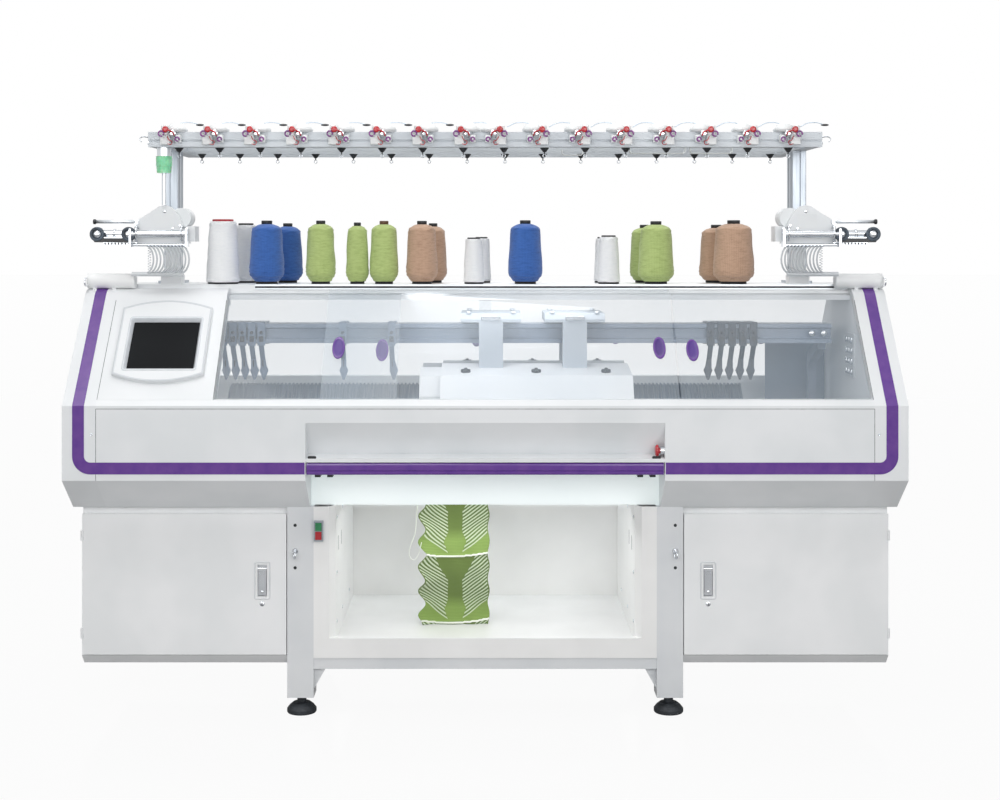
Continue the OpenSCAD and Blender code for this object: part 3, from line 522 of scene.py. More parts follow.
def knit(ground, light):
    """Knitted cloth: rows of loops, and pale threads that fall to the middle in two fields beside a waist.

    UV u runs from -1 to 1 across the cloth and v counts panels from the bottom."""
    loop_mm = 2.2
    f = Finish("knitted cloth", Roughness=0.85, Sheen_Weight=0.4, Sheen_Roughness=0.4)
    t = f.tree

    def value(operation, a, b=0.0, c=0.0):
        return add(t, "ShaderNodeMath", {0: a, 1: b, 2: c}, operation=operation).outputs["Value"]

    parts = add(t, "ShaderNodeSeparateXYZ", {"Vector": f.uv})
    across = value("ABSOLUTE", parts.outputs["X"])
    high = value("FRACT", value("ADD", parts.outputs["Y"], 1.0))
    fall = value("MULTIPLY_ADD", across, -0.31, high)
    shoulder = value("MULTIPLY", value("MAXIMUM", value("SUBTRACT", high, 0.65), 0.0), 1.2)
    disc = value("MAXIMUM", value("MULTIPLY_ADD", value("ABSOLUTE", value("SUBTRACT", high, 0.2)), -0.75,
                                  0.11), 0.0)
    inner = value("ADD", value("ADD", shoulder, disc), 0.22)
    field = value("MULTIPLY", value("GREATER_THAN", across, inner), value("LESS_THAN", across, 0.97))
    field = value("MULTIPLY", field, value("GREATER_THAN", fall, -0.02))
    thread = value("GREATER_THAN", value("FRACT", value("MULTIPLY", fall, 19.0)), 0.55)
    loops = add(t, "ShaderNodeTexWave", {"Vector": f.place, "Scale": 1000 / loop_mm / 6.3, "Distortion": 1.5,
                                         "Detail": 1.0}, bands_direction="Z").outputs["Fac"]
    waist = ramp(t, high, 0.22, 0.4, colour("#8AA557"), colour(ground))
    base = add(t, "ShaderNodeMixRGB", {"Fac": value("MULTIPLY", loops, 0.35), "Color1": waist,
                                       "Color2": colour("#5E7A35")}).outputs["Color"]
    between = add(t, "ShaderNodeMixRGB", {"Fac": value("MULTIPLY", field, 0.55), "Color1": base,
                                          "Color2": colour("#56703A")}).outputs["Color"]
    mixed = add(t, "ShaderNodeMixRGB", {"Fac": value("MULTIPLY", field, thread), "Color1": between,
                                        "Color2": colour(light)})
    t.links.new(mixed.outputs["Color"], f.shader.inputs["Base Color"])
    f.bump(value("ADD", loops, value("MULTIPLY", value("MULTIPLY", field, thread), 1.5)), 0.8)
    return f.material


def white_sheet():
    """The housing's white enamel."""
    return finish(enamel, "#E9EBED", "#E2E5E7")


def grey_sheet():
    """The stand's light grey enamel."""
    return finish(enamel, "#E4E6E8", "#DADDE0")


def cap_plastic():
    """The end caps' white moulding."""
    return finish(moulded, "#E9EBED", "#E1E4E6")


def purple_plastic():
    """The purple of the stripe, bar and finger cups."""
    return finish(gloss_plastic, hex_text(bpy.context.scene.knitting_colours.purple), "#5B2F8C", 0.22)


def red_plastic():
    """Red knobs and buttons."""
    return finish(gloss_plastic, "#C8202C", "#A81824", 0.2)


def dress(name, finishes, choose=None):
    """Gives a solid its finishes; choose turns its face centres, in millimetres, into finish numbers."""
    mesh = NODES[name].data
    mesh.materials.clear()
    for f in finishes:
        mesh.materials.append(f)
    centres = np.empty(len(mesh.polygons) * 3)
    mesh.polygons.foreach_get("center", centres)
    numbers = np.zeros(len(mesh.polygons), np.int32)
    if choose:
        numbers[:] = choose(centres.reshape(-1, 3) * 1000)
    mesh.polygons.foreach_set("material_index", numbers)


def proud(points, rear=False):
    """How far points stand out from the plane of the sloped front, or of the rear slope."""
    y = -points[:, 1] if rear else points[:, 1]
    return -(y + HALF_D) * math.sin(SLOPE) + (points[:, 2] - SLOPE_Z) * math.cos(SLOPE)


# Sizes and colours that a user may change, then the operators


class KnittingSizes(bpy.types.PropertyGroup):
    """Sizes of the trim, yarn and cloth, in millimetres"""
    stripe_width: FloatProperty(name="Stripe width", description="Width of the coloured stripe", default=35.0,
                                min=10, max=60)
    stripe_low: FloatProperty(name="Stripe height",
                              description="Height of the stripe's level part, at its middle",
                              default=768.5, min=745, max=900)
    stripe_corner: FloatProperty(name="Stripe corner",
                                 description="Radius of the stripe's corner, at its middle",
                                 default=36.0, min=20, max=80)
    stripe_x: FloatProperty(name="Stripe place", description="Distance of the upright stripe from the middle",
                            default=1202.0, min=1170, max=1230)
    yarn_turns: IntProperty(name="Yarn lean", description="Threads that a turn of yarn climbs", default=34,
                            min=5, max=80)
    cloth_t: FloatProperty(name="Cloth thickness", description="Thickness of the knitted cloth", default=2.6,
                           min=1, max=4)
    panel: FloatProperty(name="Panel height", description="Height of one knitted panel", default=214.0,
                         min=100, max=400)


class KnittingColours(bpy.types.PropertyGroup):
    """Colours that a user may change"""
    purple: FloatVectorProperty(name="Trim", description="Colour of the stripe, bar and finger cups",
                                subtype="COLOR_GAMMA", size=3, default=(0.404, 0.231, 0.576), min=0, max=1)
    cloth: FloatVectorProperty(name="Cloth", description="Ground colour of the knitted cloth",
                               subtype="COLOR_GAMMA", size=3, default=(0.41, 0.49, 0.25), min=0, max=1)


class KNIT_OT_camera(bpy.types.Operator):
    """Sets the camera in front of the machine, 4.6 m before its front and a little above the covers"""
    bl_idname = "knitting.camera"
    bl_label = "Camera"

    def execute(self, context):
        data = bpy.data.cameras.new("camera")
        data.sensor_width = 36.0
        data.lens = 56.1
        data.shift_x = 0.0148
        data.shift_y = -0.16
        data.clip_end = 200
        camera = bpy.data.objects.new("camera", data)
        camera.location = (0.0, -5.05, 1.443)
        camera.rotation_euler = (math.radians(90), 0, 0)
        context.scene.collection.objects.link(camera)
        context.scene.camera = camera
        return {"FINISHED"}


class KNIT_OT_finishes(bpy.types.Operator):
    """Gives every solid of the machine its material"""
    bl_idname = "knitting.finishes"
    bl_label = "Finishes of the solids"

    def execute(self, context):
        white = white_sheet()
        grey = grey_sheet()
        pale = finish(enamel, "#F6F7F8", "#EFF1F2")
        cap = cap_plastic()
        black = finish(black_plastic)
        bright = finish(chrome)
        ground = finish(steel)
        purple = purple_plastic()
        red = red_plastic()
        cast = finish(moulded, "#BFC6CE", "#B1B9C2")
        bars = finish(aluminium, (1, 30, 30))
        rack = finish(enamel, "#CFD5DA", "#C4CAD0", 0.35)
        grooved = finish(grooved_steel)
        feeder = finish(enamel, "#7C8A9F", "#708095", 0.35)
        key_green = finish(gloss_plastic, "#2E8B57", "#257A4B")
        plain = {
            "stand": grey, "feet": finish(rubber), "fabric_bin": finish(enamel, "#F7F7F6", "#F1F1F0"),
            "cabinet_left": pale, "cabinet_right": pale, "latch_left": bright, "latch_right": bright,
            "end_cap_left": cap, "end_cap_right": cap, "fascia_left": white, "fascia_centre": white,
                 "sill": white,
            "yarn_table": white, "control_housing": cap, "display": finish(screen_glass), "rear_panel": white,
            "operating_bar": purple, "stop_button": red, "switch_box": ground, "start_key": key_green,
                 "stop_key": red, "thread_hooks": bright,
            "needle_bed_front": grooved, "needle_bed_rear": grooved,
                 "feeder_rail": finish(enamel, "#919CAC", "#8591A2", 0.35),
            "feeders_left": feeder, "feeder_mid_left": feeder, "feeder_mid_right": feeder,
            "feeders_right": finish(enamel, "#2C3543", "#242D3A", 0.35),
            "carriage": finish(moulded, "#F4F6F8", "#E9EDF1"), "carriage_bridges": cast,
            "posts": finish(aluminium, (30, 30, 1), "#B4BAC1", "#A2A9B1"), "rack_frame": rack,
                 "side_roller_left": bright,
            "side_roller_right": bright,
        }
        for name, material in plain.items():
            dress(name, [material])
        dress("lamp_tube", [finish(lit_tube), white], lambda p: (abs(p[:, 0]) > 424.5).astype(int))
        for side in ("left", "right"):
            dress("door_" + side, [pale, grey], lambda p: (
                (abs(abs(p[:, 0]) - LATCH_X) < 22.5) & (abs(p[:, 2] - LATCH_Z) < 55.5)
                & (p[:, 1] > DOOR_FACE + 0.1)).astype(int))
            dress("side_comb_" + side, [finish(moulded, "#D3D7DA", "#C6CACE"), bright],
                  lambda p: (p[:, 2] > UNIT_Z - 18).astype(int))
            dress("side_unit_" + side, [cap, bars, bright], lambda p: np.select(
                [(abs(p[:, 0]) > 1079) & (p[:, 1] < UNIT_Y - 3.9) & (p[:, 2] > UNIT_Z + 50),
                 (p[:, 1] < UNIT_Y - 4.1) | (abs(p[:, 0]) > 1096)], [1, 2]))
            dress("roller_" + ("front" if side == "left" else "rear"), [finish(rubber, "#33373C"), ground],
                  lambda p: (abs(p[:, 0]) > 540).astype(int))
        dress("bar_brackets", [black])
        # Finish 1 is the painted glow that lifts the bed base's lower front faces out of shade; finish 2 is
        # white enamel at the back and underneath.
        dress("bed_base", [finish(painted_iron), finish(diffuser), white], lambda p: np.select(
            [(p[:, 1] < -277) & (p[:, 2] < 780), (p[:, 1] > 157) | (p[:, 2] < 640)], [1, 2]))
        dress("fascia_right", [white, bright], lambda p: (
            (p[:, 0] < 531.5) & (abs(p[:, 1] + 428) < 14) & (abs(p[:, 2] - 818) < 14)).astype(int))
        clear = finish(clear_sheet)
        for name, depth, rear in (("cover_left", 16, False), ("cover_centre", 4, False),
                                  ("cover_right", 16, False),
                                  ("rear_cover_left", 16, True), ("rear_cover_right", 4, True)):
            dress(name, [clear, purple], lambda p: (proud(p, rear) > 0.3 - depth).astype(int))
        dress("thread_guides", [black, bright], lambda p: (p[:, 2] < RACK_Z - 14.5).astype(int))
        dress("signal_lamp", [finish(lamp_glass), finish(aluminium, (30, 30, 1)),
                              finish(aluminium, (1, 1, 1))],
              lambda p: np.select([p[:, 2] < RACK_Z - 80.5, p[:, 2] > RACK_Z - 27.5], [1, 2]))
        return {"FINISHED"}


class KNIT_OT_stripes(bpy.types.Operator):
    """Coloured stripes over the end caps, round a corner and along the front to the recess"""
    bl_idname = "knitting.stripes"
    bl_label = "Stripes"

    def execute(self, context):
        z = context.scene.knitting_sizes
        half = z.stripe_width / 2
        r = z.stripe_corner
        x = z.stripe_x
        recess = 533.0
        proud_by = 0.8
        bend = arc(BEND_Y, TOP_Z - TOP_R, TOP_R, 90 + math.degrees(SLOPE), 90, 10)
        back = np.column_stack([-bend[:, 0], bend[:, 1]])
        outline = np.vstack([[[HALF_D, BEVEL_Z + 4], [HALF_D, SLOPE_Z]], back, bend[::-1],
                             [[-HALF_D, SLOPE_Z], [-HALF_D, z.stripe_low + r]]])
        t = np.gradient(outline, axis=0)
        t /= np.linalg.norm(t, axis=1, keepdims=True)
        out = np.column_stack([-t[:, 1], t[:, 0]])
        centre = outline.mean(axis=0)
        out *= np.sign(((outline - centre) * out).sum(axis=1))[:, None]
        up = Piece()
        rows = []
        for lift in ((-half, 0.05), (-half, proud_by), (half, proud_by), (half, 0.05)):
            p = outline + out * lift[1]
            rows.append(np.column_stack([np.full(len(p), x + lift[0]), p]))
        corner = []
        turn = np.radians(np.linspace(0, -90, 13))
        for across, lift in ((half, 0.05), (half, proud_by), (-half, proud_by), (-half, 0.05)):
            cx = x - r + (r + across) * np.cos(turn)
            cz = z.stripe_low + r + (r + across) * np.sin(turn)
            level = [[recess, z.stripe_low - across]]
            path = np.vstack([np.column_stack([cx, cz]), level])
            corner.append(np.column_stack([path[:, 0], np.full(len(path), -HALF_D - lift), path[:, 1]]))
        upright = np.stack(rows[::-1], axis=1)
        bent = np.stack(corner, axis=1)
        up.grid(np.vstack([upright, bent[1:]]), around=True, caps=True, smooth=False)
        for name, piece in (("stripe_right", up), ("stripe_left", up.mirrored())):
            piece.object(name, [purple_plastic()], slot="purple_plastic")
        return {"FINISHED"}


class KNIT_OT_seams(bpy.types.Operator):
    """Painted shadow lines along the seams between the front panels, and the screws that hold them"""
    bl_idname = "knitting.seams"
    bl_label = "Seams and screws"

    def execute(self, context):
        seam_shadows = Piece()
        wide = 0.8
        sill = SLOPE_Z - 9
        for y in (-1, 1):
            face = y * (HALF_D + 0.05)
            seam_shadows.block([-MID_HALF, face - 0.25, sill - wide], [MID_HALF, face + 0.25, sill + wide],
                         chamfer=0.1)
            for x in (-MID_HALF, MID_HALF):
                seam_shadows.block([x - wide, face - 0.25, BEVEL_Z], [x + wide, face + 0.25, sill], chamfer=0.1)
        slope_len = (TOP_Z - SLOPE_Z) / math.sin(SLOPE) - 45
        for x in (-MID_HALF, MID_HALF, -CONTROL_X):
            strip = [[-wide, 22], [wide, 22], [wide, slope_len], [-wide, slope_len]]
            seam_shadows.slab(strip, -0.2, 0.3, on_slope(x, 0))
        # Grey strips laid on the flush surfaces, given the rubber finish: painted shadow lines along the
        # seams.
        seam_shadows.object("painted_seam_shadows", [finish(rubber, "#8D9195")])
        screws = Piece()
        dome = [(4.0, -0.2), (4.0, 0.6), (3.2, 1.3), (1.8, 1.5), (1.8, 0.7), (0.0, 0.7)]
        for x in (-1163, 1163):
            screws.turned(dome, (0, 0, 0), n=14)
            screws.verts[-1] = facing_front(x, -HALF_D, 868)(screws.verts[-1])
        screws.object("panel_screws", [finish(chrome)])
        return {"FINISHED"}


class KNIT_OT_cups(bpy.types.Operator):
    """Oval finger cups on the sliding covers: a dished floor inside a rounded rim"""
    bl_idname = "knitting.cups"
    bl_label = "Finger cups"

    def execute(self, context):
        cups = (("cover_left", 16, (-314,), False), ("cover_centre", 4, (-446, 530), False),
                ("cover_right", 16, (632,), False), ("rear_cover_left", 16, (-30,), True),
                ("rear_cover_right", 4, (450, 952), True))
        share = np.array([0.01, 0.3, 0.55, 0.7, 0.8, 0.88, 0.95, 1.0, 1.03])
        height = np.array([1.2, 1.25, 1.5, 2.1, 3.1, 3.5, 3.4, 2.6, 0.2])
        rim = oval(1, 1)
        for cover, depth, places, rear in cups:
            piece = Piece()
            for x in places:
                flat = rim[None] * share[:, None, None] * [37.5, 80.5]
                points = np.concatenate([flat, np.broadcast_to(height[:, None, None], flat.shape[:2] + (1,))],
                                        axis=-1)
                placed = on_slope(x, 215, depth)(points)
                placed = placed * [1, -1, 1] if rear else placed
                piece.grid(placed[::-1][:5], around=True, flip=rear)
                piece.grid(placed[::-1][4:], finish=1, around=True, flip=rear)
            piece.object(cover + "_cup", [purple_plastic(), finish(moulded, "#4B2783", "#3E1D6B")],
                         body=cover, slot="purple_plastic")
        return {"FINISHED"}


class KNIT_OT_control_panel(bpy.types.Operator):
    """Surround of the display: a rounded lip round the bulged panel and a sloped frame down to the glass"""
    bl_idname = "knitting.control_panel"
    bl_label = "Control panel"

    def execute(self, context):
        piece = Piece()
        lip = on_slope(-981, 233)
        u = np.linspace(-1, 1, 25)
        bottom = np.column_stack([138 * u, -125 - 28 * (1 - u ** 2)])
        ring = np.vstack([bottom, -bottom])
        rows = []
        for inset, high in ((0.0, 11.5), (1.0, 13.0), (3.0, 13.8), (5.5, 13.2), (7.0, 12.1)):
            share = 1 - inset / np.array([138, 153])
            rows.append(raised(ring * share, high))
        piece.grid(lip(np.stack(rows)), around=True)
        frame_ring = []
        place = on_slope(-979, 221)
        for w, h, r, high in ((226, 203, 9, 12.05), (224, 201, 9, 14.0), (219, 196, 8, 14.6),
                              (213, 189, 6, 12.4),
                              (204, 180, 3, 1.0), (202, 178, 3, -0.9)):
            frame_ring.append(raised(rounded(w, h, r), high))
        piece.grid(place(np.stack(frame_ring)), finish=1, around=True)
        piece.object("display_surround", [finish(moulded, "#D2D6DA", "#CACED2"),
                                          finish(gloss_plastic, "#DDE1E6", "#D2D7DC", 0.25)],
                     slot="cap_moulding")
        return {"FINISHED"}


def package_profile(r, h):
    """Outline of a yarn package: rounded foot, long taper and a shoulder that closes on the core."""
    return smooth_path([(0.66 * r, 8), (0.72 * r, 9.5), (0.86 * r, 0.07 * h + 6), (r - 2.5, 0.13 * h),
                        (r, 0.19 * h),
                        (0.985 * r, 0.3 * h), (0.93 * r, 0.56 * h), (0.865 * r, 0.82 * h),
                        (0.83 * r, 0.872 * h),
                        (0.72 * r, 0.9 * h), (0.56 * r, 0.925 * h), (0.40 * r, 0.94 * h),
                        (0.30 * r, 0.945 * h)], 54)


def slim_profile(r, h):
    """Outline of a slim cone: straight taper with a flat top."""
    return smooth_path([(0.93 * r, 6), (0.985 * r, 8), (r, 0.07 * h), (0.975 * r, 0.14 * h),
                        (0.9 * r, 0.5 * h),
                        (0.82 * r, 0.88 * h), (0.795 * r, 0.945 * h), (0.76 * r, 0.965 * h),
                        (0.62 * r, 0.967 * h)], 44)


def wind(piece, outline, x, y, seed, n=120):
    """Winds yarn on an outline: radius plus low ridges of two crossing helices, sin(k*z + m*angle)."""
    a = 2 * np.pi * np.arange(n) / n
    z = outline[:, 1:2]
    ridge = 0.45 * np.sin(z * 0.55 + 5 * a + seed) + 0.45 * np.sin(z * 0.55 - 5 * a + 2 * seed)
    lump = 0.5 * np.sin(z * 0.07 + 2 * a + 3 * seed)
    radius = outline[:, :1] + ridge + lump - 0.6
    ring = np.stack([radius * np.cos(a) + x, radius * np.sin(a) + y,
                     np.broadcast_to(z + TABLE_Z, radius.shape)], axis=-1)
    u = np.linspace(0, 1, n + 1)
    uv = np.stack(np.broadcast_arrays(u[None, :], outline[:, 1:2] / 100), axis=-1)
    piece.grid(ring, around=True, uv=uv)


class KNIT_OT_yarn(bpy.types.Operator):
    """Yarn cones on the table: cross-wound packages on black and brown cores"""
    bl_idname = "knitting.yarn"
    bl_label = "Yarn cones"

    def execute(self, context):
        turns = context.scene.knitting_sizes.yarn_turns
        front, back = -75.0, 65.0
        dyes = {
            "cones_white": (("#FDFEFF", "#EDF1F4"), "yarn_white",
                            ((-837, front, 54, 206, 0, 2), (-785, back, 40, 195, 0, 1),
                             (-36, front, 34, 148, 0, 1),
                             (-12, back, 32, 150, 0, 1), (394, front, 37, 155, 0, 1),
                             (388, back, 32, 150, 0, 1))),
            "cones_blue": (("#386BBB", "#1A4488"), "yarn_blue",
                           ((-697, front, 56, 202, 1, 1), (-648, back, 50, 195, 1, 1),
                            (128, front, 55.5, 203, 1, 1))),
            "cones_green": (("#BFD286", "#90A856"), "yarn_green",
                            ((-525, front, 48, 202, 1, 1), (-408, front, 37, 196, 1, 1),
                             (-323, front, 46.5, 201, 1, 3),
                             (545, front, 57.5, 200, 1, 1), (522, back, 48, 190, 1, 1))),
            "cones_tan": (("#CDA98F", "#A07C62"), "yarn_tan",
                          ((-202, front, 51, 201, 1, 1), (-171, back, 46, 195, 1, 1),
                           (793, front, 66, 203, 1, 1),
                           (758, back, 56, 190, 1, 1))),
        }
        cores = [finish(card, "#232427", "#17181A"), finish(card, "#B0202E", "#8E1824"),
                 finish(card, "#6B4A34", "#4C3324")]
        for name, (tones, slot, packages) in dyes.items():
            piece = Piece()
            for k, (x, y, r, h, tapered, core) in enumerate(packages):
                wind(piece, package_profile(r, h) if tapered else slim_profile(r, h), x, y, k + 1.0)
                top = 0.31 * r if tapered else 0.62 * r
                start = 0.93 * h if tapered else 0.955 * h
                piece.turned([(top - 0.5, start), (top, h - 2.5), (top - 0.8, h), (top - 3.2, h),
                              (top - 4, h - 2.5),
                              (top - 5, start - 4), (0, start - 4)], (x, y, TABLE_Z), finish=core)
                foot = 0.62 * r if tapered else 0.9 * r
                piece.turned([(0, 0.2), (foot - 1, 0.2), (foot, 1.4), (foot - 0.6, 7.6), (foot + 3, 9.4),
                              (0, 9.6)],
                             (x, y, TABLE_Z), finish=1)
            obj = piece.object(name.replace("cones", "yarn_cones"), [finish(yarn, *tones, turns)] + cores,
                               slot=slot)
            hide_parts(name)
        return {"FINISHED"}


class KNIT_OT_cloth(bpy.types.Operator):
    """Knitted cloth that hangs from the take-down rollers into the bin, in panels between light hems"""
    bl_idname = "knitting.cloth"
    bl_label = "Knitted cloth"

    def execute(self, context):
        sizes = context.scene.knitting_sizes
        low, high = (v * 1000 for v in (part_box("fabric")[0][2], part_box("fabric")[1][2]))
        x_mid = (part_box("fabric")[0][0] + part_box("fabric")[1][0]) * 500
        low += 1.5
        # x, y and z over (k, u): k runs up the cloth, u across it, and sine waves give the folds and the curl
        k = np.linspace(0, 1, 220)[:, None]
        u = np.linspace(-1, 1, 73)[None, :]
        z = low + k * (high - 4 - low)
        sag = 9 * (1 - u ** 2) - 3 * u
        panel = (z - low - 14 + sag) / sizes.panel
        hem = np.exp(-((panel - np.round(panel)) * sizes.panel / 7) ** 2)
        free = (1 - k ** 4) * np.clip((high - 40 - z) / 60, 0, 1) ** 0.5
        left = np.clip(-u, 0, 1) ** 2
        wave = np.sin(2 * np.pi * 2.7 * panel + 0.6)
        half = 107 + (3 + 9 * left) * wave - 5 * left * hem
        curl = 9 * np.abs(u) ** 4 * np.sin(2 * np.pi * panel * 1.5 + np.sign(u) * 0.7)
        body = 14 * np.sin(np.radians(720 * k + 20)) - 4.8 + 2.5 * np.sin(9 * u + 14 * k) * (1 - 0.5 * hem)
        y = BED_Y - 8 * (1 - k) * free + (body + curl + 9 * left * wave - 5 * hem) * free
        x = x_mid + u * np.where(z > high - 40, np.minimum(half, 103), half)
        points = np.stack(np.broadcast_arrays(x, y, z), axis=-1)
        uv = np.stack(np.broadcast_arrays(u, panel), axis=-1)
        tone = hex_text(context.scene.knitting_colours.cloth)
        piece = Piece()
        piece.grid(points, uv=uv)
        cloth = piece.object("knitted_cloth", [finish(knit, tone, "#CBD8BC")], slot="knit_green")
        thick = cloth.modifiers.new("thickness", "SOLIDIFY")
        thick.thickness = sizes.cloth_t / 1000
        thick.offset = 0
        hems = Piece()
        column = np.arange(0, 73, 2)
        for count in range(3):
            row = np.argmin(abs(panel[:, column] - count), axis=0)
            hems.tube(points[row, column] + np.array([0, -1.4, 0]), 3.0, n=8)
        waste = smooth_path([(-106, 0.955), (-116, 0.9), (-123, 0.55), (-128, 0.3), (-143, 0.1),
                             (-147, -0.02),
                             (-140, -0.09), (-128, -0.1), (-116, 0.0), (-107, 0.16)], 90)
        waste = np.column_stack([x_mid + waste[:, 0], np.full(90, -74.0),
                                 low + 14 + (1 + waste[:, 1]) * sizes.panel])
        hems.tube(waste, 1.1, n=6, up=(0, 1, 0))
        hem_piece = hems.object("cloth_hems", [finish(enamel, "#F4F6EE", "#E3E8DA", 0.8)], slot="knit_green")
        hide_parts("fabric")
        return {"FINISHED"}


class KNIT_OT_tensioners(bpy.types.Operator):
    """Tension units along the rack: clamp, domed cap, discs, red lever, eyelets and a swan-neck spring"""
    bl_idname = "knitting.tensioners"
    bl_label = "Tension units"

    def execute(self, context):
        piece = Piece()
        beam = RACK_Z + 46
        dome = smooth_path([(33.5, 0.2), (34, 3), (31.5, 9), (25, 16), (15, 21.5), (6, 23.6), (0.2, 24)], 18)
        for i in range(16):
            cx = (i - 7.5) * 130 - 15
            side = 1 if i < 8 else -1

            def at(across):
                return cx + side * across

            def box(x0, x1, y0, y1, z0, z1, number, chamfer=1.5):
                piece.block([min(at(x0), at(x1)), y0, z0], [max(at(x0), at(x1)), y1, z1], number, chamfer)

            box(-15, 15, -236, -220, beam - 40, beam + 6, 0)
            box(-15, 15, -236, -186, beam, beam + 6, 0)
            box(-10, 10, -245, -234, beam - 12, beam + 20, 0, 2.5)
            box(33, 50, -238, -218, beam - 34, beam - 10, 0)
            box(36, 47, -248, -236, beam - 30, beam - 15, 0, 2.5)
            piece.turned(dome, (at(31), -205, beam + 5), finish=0, n=36)
            piece.turned([(33, 0), (33, 6), (34, 6.5)], (at(31), -205, beam), finish=0, n=36)
            knob = [(9, 0), (9.6, 1), (9.6, 9), (8.4, 10.5), (4, 11), (0.2, 11)]
            piece.turned(faced_front(knob), (at(5), -244.5, beam + 6), axis="y", finish=1, n=20)
            piece.tube(smooth_path([(at(6), -250, beam + 4), (at(16), -252, beam + 3),
                                    (at(27), -250, beam - 3),
                                    (at(31), -246, beam - 13)], 14), 2.6, finish=1, n=8)
            for y in (-238, -241.5):
                piece.turned([(3, -0.8), (10.5, -0.4), (11, 0.3), (3, 0.8)], (at(24), y, beam - 6), axis="y",
                             finish=4, n=24)
            piece.turned([(2, -9), (2, 3), (0.2, 3.2)], (at(24), -240, beam - 6), axis="y", finish=4, n=10)
            piece.tube(smooth_path([(at(8), -238, beam - 14), (at(14), -244, beam - 26),
                                    (at(24), -243, beam - 31),
                                    (at(20), -240, beam - 40), (at(9), -239, beam - 38)], 22), 1.3, finish=1,
                       n=6)
            a = np.radians(np.linspace(-30, 300, 20))
            for x, z, r in ((-9, beam - 7, 8.0), (41, beam - 24, 6.0)):
                ring = np.column_stack([at(x) + r * np.cos(a), np.full(20, -249.0), z + r * np.sin(a)])
                piece.tube(ring, 2.5, finish=2, n=8, up=(0, 1, 0))
                piece.tube([[at(x), -236, z + r], [at(x), -249, z + r]], 1.9, finish=2, n=8)
            neck = smooth_path([(cx + 18, -206, beam + 16), (cx + 44, -198, beam + 29),
                                (cx + 74, -190, beam + 31),
                                (cx + 100, -186, beam + 24)], 26)
            piece.tube(neck, 1.4, finish=5, n=8)
            tip = neck[-1]
            t = np.linspace(0, np.pi, 9)[:, None]
            ring = 2 * np.pi * np.arange(14)[None, :] / 14
            pad = np.stack(np.broadcast_arrays(tip[0] - 13 * np.cos(t), tip[1] + 5 * np.sin(t) * np.cos(ring),
                                               tip[2] + 3.6 * np.sin(t) * np.sin(ring)), axis=-1)
            piece.grid(pad, finish=3, around=True)
        obj = piece.object("tension_units", [finish(moulded, "#EEF0F0", "#DEE1E2"), red_plastic(),
                                             finish(gloss_plastic, "#8B3F8F", "#70307A", 0.25),
                                             finish(black_plastic),
                                             finish(chrome),
                                             finish(gloss_plastic, "#D5E3EF", "#C3D6E8", 0.3)],
                           slot="cap_moulding")
        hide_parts("tensioners")
        return {"FINISHED"}


